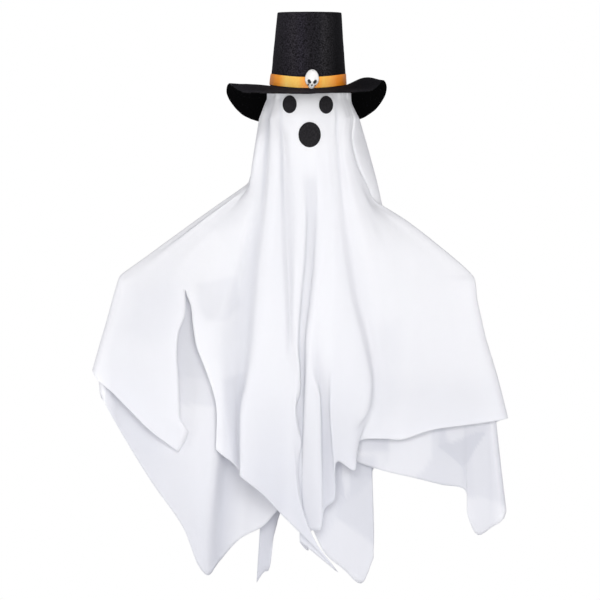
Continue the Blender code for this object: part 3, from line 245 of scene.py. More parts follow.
# Fold lines of the under sheet, inside the outer one down to its hem
LEFT_TIP_UNDER = (
    (120.8, 281, 0), (116, 300, 0), (110.5, 320, 0), (104.5, 342, 0), (98.5, 366, 0), (99.5, 391, 0),
)
RIGHT_TIP_UNDER = (
    (472.6, 282, 0), (474.3, 300, 0), (481.5, 335, 0), (491, 375, 0), (495.5, 415, 0), (501, 465, 0),
    (506.5, 511, 0),
)
UNDER_SLIT_TOP = ((341, 165, -33), (345, 184, -27), (353, 220, -20), (360, 260, -15), (366, 350, -12))
TAIL_TOP = ((283, 165, 44), (280, 186, 38), (273, 220, 30), (267, 260, 26), (262, 350, 24))
UNDER_FRONT = (
    ("under_left_1", -98, 0, ((258.5, 165, 1), (254.5, 184, -4.5), (207, 220, -5), (159, 260, -5),
        (132, 289, -6), (123, 320, -6), (117, 350, -5), (114, 390, -3), (118, 427, 0))),
    ("under_left_2", -92, 0, ((260, 165, -4), (256.5, 184, -6.5), (216, 220, -6), (173, 260, -7),
        (151, 289, -8), (142, 350, -10), (146, 400, -9), (151, 481, -5))),
    ("under_left_3", -84, 0, ((262, 165, -10), (258.8, 184, -9), (228, 220, -8), (194, 260, -9),
        (179, 289, -10), (169, 350, -12), (172, 420, -12), (183, 527, -13))),
    ("under_left_4", -74, 0, ((264.5, 165, -17), (261.5, 184, -13), (239, 220, -10), (214, 260, -11),
        (203, 300, -12), (196, 350, -14), (194, 450, -16), (199, 566, -16))),
    ("under_left_ridge", -64, 0, ((268, 165, -22), (265, 184, -16), (247, 220, -13), (229, 260, -12),
        (222, 300, -14), (219, 350, -16), (217, 400, -20), (216, 450, -24), (212.5, 490, -24),
        (208.5, 530, -22), (208, 575, -18))),
    ("under_left_inside", -54, 0, ((273, 165, -30), (270, 184, -22), (257, 220, -15), (242, 260, -11),
        (235, 300, -8), (230, 350, -6), (228, 400, -2), (227, 450, 2), (224, 500, 0), (219, 562, -4))),
    ("under_left_back", -44, 0, ((279, 165, -38), (277, 184, -28), (266, 220, -18), (253, 260, -12),
        (247, 300, -8), (245, 350, -4), (246, 400, 2), (245, 450, 6), (243, 500, 8), (240, 539, 8))),
    ("under_left_end", -34, 0, ((286, 165, -43), (284, 184, -34), (275, 220, -22), (268, 260, -18),
        (266, 300, -16), (265, 350, -14), (264, 400, -8), (264, 450, -4), (262, 500, 0),
        (262, 527, 0))),
    ("under_middle_left", -17, 0, ((297, 165, -50), (295, 184, -38), (290, 220, -26), (287, 260, -24),
        (286, 350, -22), (286, 430, -16), (286, 505, -12))),
    ("under_middle", 0, 0, ((309, 165, -52), (309, 184, -40), (309, 220, -28), (308, 260, -24),
        (306, 350, -24), (306, 430, -24), (308, 522, -24))),
    ("under_right_1", 15, 0, ((319, 165, -50), (320, 184, -39), (324, 220, -29), (327, 260, -28),
        (329, 350, -28), (328, 430, -30), (326, 500, -32), (325, 553, -32))),
    ("under_right_2", 27, 0, ((327, 165, -46), (329, 184, -37), (336, 220, -28), (341, 260, -26),
        (346, 350, -23), (347, 430, -24), (345, 500, -28), (343, 568.5, -30))),
    ("under_right_tip", 38, 0, ((334, 165, -41), (337, 184, -33), (345, 220, -25), (351, 260, -21),
        (357, 350, -15), (361, 430, -14), (362, 500, -20), (361, 583, -24))),
    ("under_slit_left", 49, 0, (*UNDER_SLIT_TOP, (371, 430, -10), (372.5, 480, -12), (374, 530, -15),
        (373.5, 558, -17))),
    ("under_slit_right", 49, 0, (*UNDER_SLIT_TOP, (362, 400, -20), (354, 461, -24))),
    ("under_right_3", 60, 0, ((346, 165, -25), (351, 184, -20), (361, 220, -15), (375, 260, -10),
        (384, 300, -10), (386, 350, -13), (384, 400, -18), (383, 470.5, -18))),
    ("under_right_4", 70, 0, ((346, 165, -18), (353, 186, -14), (361, 204, -12), (370, 220, -10),
        (395, 260, -7), (408, 300, -8), (412, 350, -12), (414, 400, -14), (415, 478, -14))),
    ("under_right_5", 78, 0, ((347.5, 165, -13), (355.5, 186, -10), (365, 204, -8.5), (379, 220, -7),
        (415, 260, -6), (430, 300, -7), (436, 350, -11), (440, 400, -12), (441, 484.5, -10))),
    ("under_right_6", 84, 0, ((348.8, 165, -9.5), (357.5, 186, -8), (368, 204, -6.5), (386, 220, -5),
        (432, 260, -5), (451, 300, -7), (458, 350, -9), (463, 430, -8), (465, 490, -6))),
    ("under_right_7", 88, 0, ((349.8, 165, -7.5), (359.2, 186, -7), (369.7, 204, -6), (389.5, 220, -5),
        (437, 260, -5), (458, 300, -6), (466, 350, -8), (468, 430, -8), (467.5, 515, -6))),
    ("under_right_8", 91, 0, ((350.6, 165, -5.5), (360.4, 186, -6), (371, 204, -5.3), (392, 220, -4.5),
        (440.5, 260, -4.5), (463, 300, -6), (472, 350, -8), (477, 430, -8), (478, 535, -6))),
    ("under_right_9", 94, 0, ((351.2, 165, -3.5), (361.4, 186, -5), (372, 204, -4.7), (394, 220, -4),
        (443, 260, -4), (467, 300, -6), (478, 350, -7), (488, 430, -7), (492, 527, -5))),
)
UNDER_BACK = (
    ("under_back_1", 104, 0, ((351, 165, 12), (360.5, 186, 9), (370, 204, 8), (386, 220, 7),
        (425, 260, 6), (440, 300, 8), (446, 350, 10), (450, 460, 10))),
    ("under_back_2", 122, 0, ((346, 165, 28), (353, 186, 24), (365, 220, 18), (384, 260, 14),
        (396, 300, 14), (400, 350, 16), (402, 462, 16))),
    ("under_back_3", 136, 0, ((338, 165, 40), (342, 186, 34), (350, 220, 27), (361, 260, 22),
        (368, 300, 20), (372, 350, 18), (375, 466, 16))),
    ("under_back_4", 150, 0, ((328, 165, 47), (331, 186, 40), (337, 220, 33), (344, 260, 28),
        (350, 350, 24), (362, 480, 16), (367, 539, 12))),
    ("under_back_5", 165, 0, ((318, 165, 52), (319, 186, 45), (322, 220, 37), (325, 260, 32),
        (329, 350, 28), (336, 517, 20))),
    ("under_back_6", 180, 0, ((306, 165, 54), (306, 186, 46), (306, 220, 38), (305, 260, 33),
        (304, 350, 30), (304, 500, 26))),
    ("under_back_7", 194, 0, ((296, 165, 52), (294, 186, 44), (291, 220, 36), (288, 260, 31),
        (284, 350, 28), (281, 509, 22))),
    ("tail_right", 202, 0, ((290, 165, 50), (288, 186, 42), (284, 220, 34), (279, 260, 29),
        (281, 350, 27), (282, 480, 22), (280, 512, 21), (276, 525, 20), (269.8, 550, 20),
        (268.3, 571, 20))),
    ("tail_end", 208, 0, ((286, 165, 47), (284, 186, 40), (278, 220, 32), (272, 260, 28),
        (271, 350, 26), (271, 480, 22), (268, 530, 20), (264.5, 572, 20))),
    ("tail_left", 213, 0, (*TAIL_TOP, (262, 480, 22), (256.5, 583, 20))),
    ("under_back_8", 213, 0, (*TAIL_TOP, (261, 480, 18))),
    ("under_back_9", 226, 0, ((275, 165, 36), (271, 186, 30), (260, 220, 24), (248, 260, 20),
        (240, 350, 18), (238, 430, 16))),
    ("under_back_10", 242, 0, ((266, 165, 25), (261, 184, 18), (240, 220, 13), (214, 260, 12),
        (203, 300, 14), (200, 350, 16), (204, 396, 16))),
    ("under_back_11", 250, 0, ((260.5, 165, 13), (255, 184, 8), (222, 220, 7), (179, 260, 8),
        (160, 300, 10), (155, 350, 12), (156, 392, 12))),
)

# Painted shade in valleys, pleats, under layers behind and lower down: for each fold line, (row down,
# share)
OUTER_PAINTED_SHADE = {
    "left_edge": ((230, 0), (300, 0.08), (370, 0.15)),
    "left_1": ((230, 0), (300, 0.12), (390, 0.3)),
    "left_2": ((230, 0), (290, 0.2), (350, 0.25), (400, 0.35)),
    "left_3": ((230, 0), (290, 0.2), (350, 0.22), (430, 0.3)),
    "slit_left": ((250, 0), (300, 0.1), (430, 0.15)),
    "slit_right": ((250, 0), (300, 0.06), (440, 0.14)),
    "left_swag": ((240, 0), (300, 0.06), (440, 0.18)),
    "head_left_ridge": ((220, 0.05), (275, 0.15), (314, 0.15), (340, 0.2), (440, 0.35)),
    "left_valley": ((150, 0.12), (200, 0.18), (260, 0.32), (330, 0.45), (400, 0.6), (460, 0.6)),
    "left_valley_end": ((100, 0.15), (150, 0.18), (200, 0.25), (260, 0.4), (330, 0.45), (460, 0.6)),
    "panel_left_edge": ((150, 0.06), (350, 0.1), (420, 0.25), (480, 0.4)),
    "panel_middle": ((150, 0.08), (250, 0.1), (350, 0.12), (420, 0.35), (470, 0.6), (500, 0.75)),
    "panel_inner_edge": ((150, 0.1), (360, 0.12), (420, 0.35), (500, 0.75)),
    "face_left_valley": ((100, 0.02), (130, 0), (170, 0.12), (200, 0.18), (330, 0.2), (360, 0.1),
        (500, 0.6)),
    "face_left_ridge": ((200, 0.05), (360, 0.08), (420, 0.3), (490, 0.6), (530, 0.7)),
    "panel_right_edge": ((300, 0), (380, 0.1), (420, 0.25), (500, 0.5), (560, 0.5)),
    "valley_left": ((174, 0), (184, 0.25), (330, 0.3), (360, 0.6), (440, 0.75), (450, 0.6)),
    "valley_right": ((174, 0), (184, 0.25), (330, 0.3), (360, 0.6), (440, 0.75), (450, 0.6)),
    "strip_left_edge": ((240, 0.05), (340, 0.08), (400, 0.25), (500, 0.4)),
    "strip_right_edge": ((240, 0.05), (350, 0.08), (400, 0.25), (500, 0.45)),
    "strip_valley": ((240, 0.05), (330, 0.08), (380, 0.5), (440, 0.9), (480, 0.9)),
    "strip_valley_end": ((240, 0.05), (350, 0.08), (400, 0.45), (440, 0.8), (470, 0.8)),
    "front_right_ridge": ((220, 0.05), (330, 0.12), (380, 0.25), (420, 0.45), (460, 0.55)),
    "front_right_edge": ((220, 0.02), (330, 0.1), (420, 0.3), (460, 0.5)),
    "right_valley": ((200, 0), (250, 0.12), (330, 0.22), (430, 0.35)),
    "right_ridge": ((250, 0), (340, 0.14), (440, 0.22)),
    "right_1": ((250, 0), (350, 0.16), (440, 0.14)),
    "right_2": ((250, 0), (350, 0.14), (430, 0.25)),
    "right_3": ((250, 0), (350, 0.14), (420, 0.25)),
    "right_front": ((300, 0), (420, 0.15)),
    "back_1": ((100, 0), (212, 0)),
    "head_right_edge": ((100, 0), (150, 0.08), (212, 0)),
}
UNDER_PAINTED_SHADE = {
    "under_left_1": ((380, 0.6), (400, 0.65), (430, 0.7)),
    "under_left_2": ((380, 0.6), (430, 0.7), (480, 0.6)),
    "under_left_3": ((290, 0.3), (400, 0.25), (440, 0.45), (530, 0.6)),
    "under_left_4": ((290, 0.3), (400, 0.15), (440, 0.35), (530, 0.6)),
    "under_left_ridge": ((376, 0.2), (440, 0.35), (560, 0.7)),
    "under_left_inside": ((440, 0.7), (540, 0.95), (560, 1)),
    "under_left_back": ((440, 0.35), (520, 0.35)),
    "under_left_end": ((440, 0.3), (520, 0.3)),
    "under_right_1": ((470, 0.4), (550, 0.5)),
    "under_right_2": ((470, 0.4), (550, 0.5)),
    "under_right_tip": ((460, 0.4), (545, 0.5)),
    "under_slit_left": ((460, 0.4), (545, 0.5)),
    "under_right_3": ((440, 0.3), (462, 0.2)),
    "under_right_4": ((440, 0.2), (480, 0.25)),
    "under_right_5": ((430, 0.25), (484, 0.3)),
    "under_right_6": ((430, 0.25), (515, 0.2)),
    "under_right_7": ((430, 0.2), (515, 0.2)),
    "under_right_8": ((430, 0.25), (535, 0.35)),
    "under_right_9": ((430, 0.25), (527, 0.35)),
    "tail_right": ((500, 0.9), (571, 1)),
    "tail_end": ((500, 0.9), (571, 1)),
    "tail_left": ((500, 0.9), (580, 1)),
}
# Outlines of painted shade (hems, folds and layers behind, shadows under hems; a negative share paints
# it lighter): (share, softness in rows, corners on the grid)
OUTER_SHADE_OUTLINES = (
    (0.2, 3, ((197, 284), (236, 276), (241, 306), (226, 321), (206, 320), (199, 305))),
    (0.1, 12, ((135, 290), (178, 284), (181, 330), (150, 345), (122, 330))),
    (0.12, 6, ((224, 206), (243, 206), (240, 222), (222, 232), (208, 228))),
    (0.4, 1.5, ((267.5, 90), (271.5, 90), (270, 130), (266, 180), (261, 215), (262.5, 180),
        (265.5, 130))),
    (0.35, 1.2, ((279, 90), (282.5, 90), (283.5, 140), (284, 180), (283, 220), (280.5, 180),
        (280, 140))),
    (0.25, 1.2, ((334.5, 90), (337.5, 90), (338.5, 140), (341, 180), (344, 225), (338, 180),
        (335, 140))),
    (0.1, 15, ((285, 160), (350, 160), (366, 300), (372, 380), (350, 450), (320, 540), (262, 500),
        (243, 470), (250, 300))),
    (0.12, 15, ((380, 380), (500, 380), (515, 430), (380, 445))),
    (0.05, 4, ((250, 215), (262, 215), (258, 260), (254, 300), (252, 340), (234, 340), (238, 300),
        (245, 260))),
    (0.12, 10, ((372, 330), (398, 320), (402, 400), (378, 425), (372, 400))),
    (0.25, 3, ((223, 380), (244, 372), (246, 390), (241, 415), (240, 466), (223, 456))),
)
UNDER_SHADE_OUTLINES = (
    (0.25, 1.2, ((170, 280), (222, 280), (222, 405), (170, 405))),
    (0.15, 1.5, ((170, 280), (222, 280), (222, 378), (170, 378))),
    (0.4, 4, ((350, 436), (389, 434), (388, 450), (372, 452), (350, 450))),
    (0.2, 1.2, ((350, 430), (389.5, 430), (389, 455), (384, 476), (350, 476))),
    (0.3, 1.5, ((431, 425), (433, 445), (430, 460), (424, 470), (413, 480), (462, 492), (466, 470),
        (452, 452), (444, 425))),
    (0.25, 3, ((439, 426), (445, 426), (445, 447), (439, 449))),
    (0.6, 1.5, ((441, 447), (456, 441), (470, 436), (486, 431), (478, 443), (470, 456), (463, 467),
        (454, 458))),
    (0.15, 1.5, ((445, 427), (490, 423), (486, 431), (444, 446))),
    (0.2, 1.2, ((464, 425), (500, 425), (508, 507), (490, 499), (478, 497), (463, 497))),
    (0.2, 5, ((494, 422), (503, 425), (509, 507), (499, 505))),
    (0.2, 4, ((463, 455), (470, 440), (474, 497), (463, 497))),
    (0.3, 1.5, ((336, 455), (376, 455), (376, 546), (360, 533), (350, 526), (336, 517))),
    (0.15, 1.5, ((336, 460), (376, 460), (372, 479), (360, 492), (345, 502), (336, 509))),
    (0.2, 1.5, ((316, 480), (337, 480), (336, 517), (322, 541), (314, 541))),
    (0.12, 5, ((385, 420), (515, 420), (515, 545), (385, 510))),
    (0.5, 1.2, ((336, 460), (340, 462), (343, 494), (340, 493), (336, 480))),
    (-0.3, 1.2, ((342, 465), (355, 470), (351, 476), (350, 485), (347, 497), (343, 493))),
)


def smooth_value(knots, values, at):
    """The value at a place on a smooth curve through the values at rising knots."""
    last = len(knots) - 1
    at = min(max(at, knots[0]), knots[last])
    i = 0
    while i < last - 1 and at > knots[i + 1]:
        i += 1
    width = knots[i + 1] - knots[i]
    rise = (values[i + 1] - values[i]) / width
    before = rise
    after = rise
    if i > 0:
        before = (values[i + 1] - values[i - 1]) / (knots[i + 1] - knots[i - 1])
    if i < last - 1:
        after = (values[i + 2] - values[i]) / (knots[i + 2] - knots[i])
    t = (at - knots[i]) / width
    from_start = (1 + 2 * t) * (1 - t) ** 2 * values[i] + t * (1 - t) ** 2 * width * before
    from_end = t * t * (3 - 2 * t) * values[i + 1] + t * t * (t - 1) * width * after
    return from_start + from_end


def ramp_up(value, start, width):
    """0 up to the start, 1 from one width beyond it."""
    return min(max((value - start) / width, 0), 1)


def round_value(table, column, degrees):
    """The value in one column of a table that runs once round the hat."""
    turns = [row[0] for row in table]
    knots = [turns[-1] - 360, *turns, turns[0] + 360, turns[1] + 360]
    values = [row[column] for row in table]
    return smooth_value(knots, [values[-1], *values, values[0], values[1]], degrees % 360)


def between(p0, p1, p2, p3, t):
    """A point between p1 and p2 on a centripetal curve through four points."""
    a = max((p1 - p0).length, 1e-6) ** 0.5
    b = max((p2 - p1).length, 1e-6) ** 0.5
    c = max((p3 - p2).length, 1e-6) ** 0.5
    slope_1 = (p2 - p1) + b * ((p1 - p0) / a - (p2 - p0) / (a + b))
    slope_2 = (p2 - p1) + b * ((p3 - p2) / c - (p3 - p1) / (b + c))
    near = (1 + 2 * t) * (1 - t) ** 2 * p1 + t * (1 - t) ** 2 * slope_1
    far = t * t * (3 - 2 * t) * p2 + t * t * (t - 1) * slope_2
    return near + far


# Hat


def crown_foot(degrees):
    """Height of the crown's foot, degrees round from the front."""
    dip = SADDLE_DIP * math.cos(math.radians(degrees)) ** 2
    return -(CROWN_HEIGHT + dip)


def crown_radius(height):
    share = -height / CROWN_HEIGHT
    return CROWN_TOP_RADIUS + (CROWN_BASE_RADIUS - CROWN_TOP_RADIUS) * share


def hat_point(degrees, radius, height):
    turn = math.radians(degrees)
    lean = CROWN_LEAN * min(-height / CROWN_HEIGHT, 1)
    return Vector((lean + radius * math.sin(turn), -radius * math.cos(turn), height))


# Head and arms


def cover_radius(layers):
    """Radius of the outer face of a cloth layer on the head: 1 is the under sheet, 2 the outer."""
    return HEAD_RADIUS + layers * (HEAD_EASE + CLOTH)


def head_centre():
    """The middle of the head, which sits where its cover meets the lowest edge of the brim's hole."""
    hole_underside = crown_foot(0) - GAP - FELT
    rise = math.sqrt(cover_radius(2) ** 2 - (BRIM_HOLE_RADIUS - FELT) ** 2)
    return Vector((CROWN_LEAN, 0, hole_underside - rise + HAT_SETTLE))


def grid_point(across, down, depth):
    """A point of the cloth's drawing grid, hung from the head's centre."""
    x = (across - MIDDLE_COLUMN) * SQUARE
    z = head_centre().z - (down - HEAD_ROW) * SQUARE
    return Vector((x, depth * MM, z))


def arm_ribs(arm, tip, neck, layers, side, hang):
    """Three lines along an arm's top: front shoulder, edge and back shoulder.

    side is -1 for the left arm on the drawing and 1 for the right one. neck holds the head points of
    the three lines, and tip the points of the free edge below the arm's end.
    """
    cover = WIRE_RADIUS + layers * (ARM_EASE + CLOTH)
    places = [grid_point(*corner, 0) for corner in arm]
    if side < 0:
        places.reverse()
    edge = []
    for i, place in enumerate(places):
        ahead = places[min(i + 1, len(places) - 1)]
        behind = places[max(i - 1, 0)]
        along = (ahead - behind).normalized()
        edge.append(place + Vector((-along.z * side, 0, along.x * side)) * cover)
    spread = cover * SHOULDER_SPREAD
    lines = []
    for turn, depth in ((-1, -cover), (0, 0), (1, cover)):
        inward = Vector((-side * spread * abs(turn), depth, 0))
        line = [grid_point(*point) for point in neck[turn + 1]]
        line += [place + inward for place in edge]
        low = line[-1].z
        for i, point in enumerate(tip):
            place = grid_point(*point)
            if turn:
                place.x -= side * TIP_INSET * SQUARE
                place.y = depth * (TIP_WIDTH + TIP_WIDENING * i)
            if place.z < low - TIP_STEP:
                line.append(place)
        if turn:
            line[-1].z -= hang * SQUARE
        lines.append(line)
    return lines


class Rib:
    """One fold line of a sheet: where it leaves the head, and its points below."""

    def __init__(self, name, degrees, stand_off, points, layers):
        self.name = name
        turn = math.radians(degrees)
        self.out = Vector((math.sin(turn), -math.cos(turn), 0))
        self.stand_off = stand_off * MM
        self.cover = cover_radius(layers)
        side = abs(degrees) if abs(degrees) <= 180 else 360 - abs(degrees)
        self.flare = ramp_up(side, SHOULDER_FROM, SHOULDER_GROWTH)
        self.flare *= ramp_up(-side, -SHOULDER_TO, SHOULDER_FADE) * (layers - 1)
        self.centre = head_centre()
        self.points = [self.on_head(90), *points]
        if layers == 1:
            chin = self.centre + self.out * (self.cover - CHIN_TUCK)
            chin.z = grid_point(0, CHIN_ROW, 0).z
            self.points.insert(1, chin)
        self.depths = [-point.z for point in self.points]

    def on_head(self, angle):
        """The point on the covered head this many degrees down from its top."""
        lean = math.radians(angle)
        radius = self.cover * math.sin(lean)
        shoulder = BRIM_SHOULDER + SHOULDER_FOLDS * self.stand_off - radius
        radius += max(shoulder, 0) * self.flare * ramp_up(angle, SHOULDER_TOP, SHOULDER_BEND)
        radius += self.stand_off * ramp_up(angle, FOLDS_TOP, FOLDS_BEND) ** 3
        return self.centre + self.out * radius + Vector((0, 0, self.cover * math.cos(lean)))

    def at(self, height):
        x = smooth_value(self.depths, [point.x for point in self.points], -height)
        y = smooth_value(self.depths, [point.y for point in self.points], -height)
        return Vector((x, y, height))


def table_ribs(table, layers):
    ribs = []
    for name, degrees, stand_off, points in table:
        places = [grid_point(*point) for point in points]
        ribs.append(Rib(name, degrees, stand_off, places, layers))
    return ribs


def sheet_ribs(front, back, tips, necks, layers):
    """The ribs of a sheet in order round it: left edge, front, right edge, back."""
    arms = (("left", -1, WIRE_LEFT), ("right", 1, WIRE_RIGHT[layers - 1:]))
    edges = {}
    for k, (side, sign, arm) in enumerate(arms):
        lines = arm_ribs(arm, tips[k], necks[k], layers, sign, ARM_HANG[layers][k])
        for part, line, degrees in zip(("front", "edge", "back"), lines, ARM_TURNS[layers][k]):
            name = side + "_" + part
            edges[name] = Rib(name, degrees, ARM_STAND_OFF[layers], line, layers)
    ribs = [edges["left_edge"], edges["left_front"], *table_ribs(front, layers)]
    ribs += [edges["right_front"], edges["right_edge"], edges["right_back"]]
    ribs += [*table_ribs(back, layers), edges["left_back"]]
    return ribs


# Where the arms' lines leave the head
OUTER_NECKS = (
    (((258, 140, 12), (254, 165, 6.5), (249.3, 182, -3)),
     ((258.5, 140, 14), (254.5, 165, 8), (248.6, 182, 0)),
     ((259, 140, 18), (255, 165, 12), (249.6, 182, 5))),
    (((350.8, 140, -42), (356.2, 165, -36), (365.7, 186, -21), (369.5, 196, -13), (374, 202.5, -8)),
     ((351.3, 140, -38), (356.9, 165, -32), (367, 186, -16), (371.2, 196, -8), (377, 202.5, -3)),
     ((351, 140, -34), (356.6, 165, -27.5), (366.7, 186, -11), (371.3, 196, -3), (377, 203, 2))),
)
UNDER_NECKS = (
    (((257.3, 165, 4), (253.3, 182, -2.5)),
     ((256.5, 165, 8), (251.8, 182, 1)),
     ((257.6, 165, 12), (253.3, 182, 4.5))),
    (((351.6, 165, -1), (362.3, 184, -3.5)),
     ((352.6, 165, 3), (364.3, 184, 0)),
     ((351.8, 165, 8), (362, 184, 4))),
)


# Materials

TINT_STOPS = (0.35, 0.65)  # values of the noise at which a tint has its dark and its light colour
EVEN = (1, 1, 1)
# Relief of each material: stretch, scale, detail, strength, distance
CLOTH_RELIEF = (
    ((1, 1, 0.5), 60, 4.0, 0.12, 0.003), ((1, 1, 0.06), 900, 3.0, 0.15, 0.0005),
    ((0.08, 0.08, 1), 1400, 2.0, 0.1, 0.0003),
)
FELT_RELIEF = ((EVEN, 120, 3.0, 0.3, 0.002), (EVEN, 500, 5.0, 0.6, 0.001))
SATIN_RELIEF = (((1, 1, 0.4), 120, 3.0, 0.35, 0.002), ((1, 1, 0.05), 2200, 2.0, 0.25, 0.0003))
PLASTIC_RELIEF = ((EVEN, 150, 3.0, 0.15, 0.001),)
STEEL_RELIEF = (((0.1, 1, 1), 900, 2.0, 0.2, 0.0003),)


def new_material(name, colour, roughness):
    material = bpy.data.materials.new(name)
    material.use_nodes = True
    shader = material.node_tree.nodes["Principled BSDF"]
    shader.inputs["Base Color"].default_value = (*colour, 1)
    shader.inputs["Roughness"].default_value = roughness
    return material, material.node_tree, shader


def add_node(tree, kind, **values):
    node = tree.nodes.new(kind)
    for name, value in values.items():
        if hasattr(node, name):
            setattr(node, name, value)
        else:
            node.inputs[name.replace("_", " ")].default_value = value
    return node


def stretched_noise(tree, scale, noise_scale, detail=2.0):
    """Noise in object space, stretched by scale along each axis."""
    coordinates = add_node(tree, "ShaderNodeTexCoord")
    mapping = add_node(tree, "ShaderNodeMapping")
    mapping.inputs["Scale"].default_value = scale
    texture = add_node(tree, "ShaderNodeTexNoise", Scale=noise_scale, Detail=detail)
    tree.links.new(coordinates.outputs["Object"], mapping.inputs["Vector"])
    tree.links.new(mapping.outputs["Vector"], texture.inputs["Vector"])
    return texture


def add_bump(tree, height, strength, distance, normal=None):
    bump = add_node(tree, "ShaderNodeBump", Strength=strength, Distance=distance)
    tree.links.new(height, bump.inputs["Height"])
    if normal is not None:
        tree.links.new(normal, bump.inputs["Normal"])
    return bump.outputs["Normal"]


def add_relief(tree, shader, layers):
    """Relief from layers of noise, coarse to fine: (stretch, scale, detail, strength, distance).

    Gives the finest layer's value and the normal.
    """
    normal = None
    for stretch, scale, detail, strength, distance in layers:
        value = stretched_noise(tree, stretch, scale, detail).outputs["Fac"]
        normal = add_bump(tree, value, strength, distance, normal)
    tree.links.new(normal, shader.inputs["Normal"])
    return value, normal


def tint(tree, factor, dark, light, target):
    """Colour variation between two near colours."""
    ramp = add_node(tree, "ShaderNodeValToRGB")
    for stop, position, colour in zip(ramp.color_ramp.elements, TINT_STOPS, (dark, light)):
        stop.position = position
        stop.color = (*colour, 1)
    tree.links.new(factor, ramp.inputs["Fac"])
    tree.links.new(ramp.outputs["Color"], target)


def cloth_material(name):
    """Thin white cloth: light shines through it, with a fine upright grain and faint unevenness, and
    painted shade read from the layers attribute.
    """
    material, tree, shader = new_material(name, CLOTH_WHITE, 0.9)
    shader.inputs["Sheen Weight"].default_value = 0.15
    shader.inputs["Specular IOR Level"].default_value = 0.15
    through = add_node(tree, "ShaderNodeBsdfTranslucent")
    through.inputs["Color"].default_value = (*CLOTH_THROUGH, 1)
    mix = add_node(tree, "ShaderNodeMixShader", Fac=CLOTH_SHINE_THROUGH)
    output = tree.nodes["Material Output"]
    normal = add_relief(tree, shader, CLOTH_RELIEF)[1]
    # painted shade: the layers attribute darkens the base and shine-through colours towards the painted
    # shade colour
    share = add_node(tree, "ShaderNodeAttribute", attribute_name="layers")
    targets = (shader.inputs["Base Color"], through.inputs["Color"])
    for target, colour in zip(targets, (CLOTH_WHITE, CLOTH_THROUGH)):
        shaded_colour = add_node(tree, "ShaderNodeMix", data_type="RGBA")
        tree.links.new(share.outputs["Fac"], shaded_colour.inputs["Factor"])
        shaded_colour.inputs["A"].default_value = (*colour, 1)
        shaded_colour.inputs["B"].default_value = (*[a * b for a, b in zip(colour, PAINTED_SHADE_COLOUR)], 1)
        tree.links.new(shaded_colour.outputs["Result"], target)
    tree.links.new(normal, through.inputs["Normal"])
    tree.links.new(shader.outputs["BSDF"], mix.inputs[1])
    tree.links.new(through.outputs["BSDF"], mix.inputs[2])
    tree.links.new(mix.outputs["Shader"], output.inputs["Surface"])
    return material


def paint_light_bands(tree, bands, target):
    """Painted sheen, highlights and shade: multiply what feeds a colour by bands across the hat: (mm
    from the middle, colour factor).
    """
    source = target.links[0].from_socket
    coordinates = add_node(tree, "ShaderNodeTexCoord")
    split = add_node(tree, "ShaderNodeSeparateXYZ")
    tree.links.new(coordinates.outputs["Object"], split.inputs["Vector"])
    place = add_node(tree, "ShaderNodeMapRange")
    place.inputs["From Min"].default_value = -BANDS_REACH
    place.inputs["From Max"].default_value = BANDS_REACH
    tree.links.new(split.outputs["X"], place.inputs["Value"])
    ramp = add_node(tree, "ShaderNodeValToRGB")
    stops = ramp.color_ramp.elements
    while len(stops) < len(bands):
        stops.new(0.5)
    for stop, (across, factor) in zip(stops, bands):
        stop.position = 0.5 + across * MM / (2 * BANDS_REACH)
        stop.color = (*factor, 1)
    tree.links.new(place.outputs["Result"], ramp.inputs["Fac"])
    product = add_node(tree, "ShaderNodeMix", data_type="RGBA", blend_type="MULTIPLY")
    product.inputs["Factor"].default_value = 1
    tree.links.new(source, product.inputs["A"])
    tree.links.new(ramp.outputs["Color"], product.inputs["B"])
    tree.links.new(product.outputs["Result"], target)


def felt_material(name, dark, light, sheen, gloss, bands=()):
    """Pressed felt: short matted fibres with a faint fuzzy sheen, and optional upright bands of painted
    sheen and shade.
    """
    material, tree, shader = new_material(name, dark, 0.95)
    shader.inputs["Sheen Weight"].default_value = sheen
    shader.inputs["Sheen Roughness"].default_value = 0.5
    shader.inputs["Sheen Tint"].default_value = (0.5, 0.48, 0.6, 1)
    shader.inputs["Specular IOR Level"].default_value = gloss
    fuzz = add_relief(tree, shader, FELT_RELIEF)[0]
    tint(tree, fuzz, dark, light, shader.inputs["Base Color"])
    if bands:
        paint_light_bands(tree, bands, shader.inputs["Base Color"])
    return material


def satin_material():
    """Woven satin ribbon: long cross threads, a soft streaky gloss."""
    material, tree, shader = new_material("orange_satin", SATIN_ORANGE, 0.4)
    shader.inputs["Specular IOR Level"].default_value = 0.35
    threads = add_relief(tree, shader, SATIN_RELIEF)[0]
    tint(tree, threads, SATIN_DEEP, SATIN_ORANGE, shader.inputs["Base Color"])
    # painted highlights and painted shade in bands across the ribbon
    paint_light_bands(tree, SATIN_PAINTED_LIGHT, shader.inputs["Base Color"])
    return material


def plastic_material():
    material, tree, shader = new_material("white_plastic", (0.93, 0.92, 0.9), 0.22)
    shader.inputs["Coat Weight"].default_value = 0.4
    shader.inputs["Coat Roughness"].default_value = 0.1
    mottle = add_relief(tree, shader, PLASTIC_RELIEF)[0]
    tint(tree, mottle, (0.88, 0.87, 0.85), (0.97, 0.96, 0.94), shader.inputs["Base Color"])
    return material


def foam_material():
    """Pressed bead foam: small cells with thin dark joints."""
    material, tree, shader = new_material("white_foam", (0.8, 0.8, 0.78), 0.7)
    cells = add_node(tree, "ShaderNodeTexVoronoi", Scale=260.0)
    coordinates = add_node(tree, "ShaderNodeTexCoord")
    tree.links.new(coordinates.outputs["Object"], cells.inputs["Vector"])
    tree.links.new(add_bump(tree, cells.outputs["Distance"], 0.5, 0.001), shader.inputs["Normal"])
    base = shader.inputs["Base Color"]
    tint(tree, cells.outputs["Distance"], (0.84, 0.84, 0.82), (0.68, 0.68, 0.66), base)
    return material


def steel_material():
    material, tree, shader = new_material("steel_wire", (0.45, 0.45, 0.46), 0.3)
    shader.inputs["Metallic"].default_value = 1
    add_relief(tree, shader, STEEL_RELIEF)
    return material


# Pieces

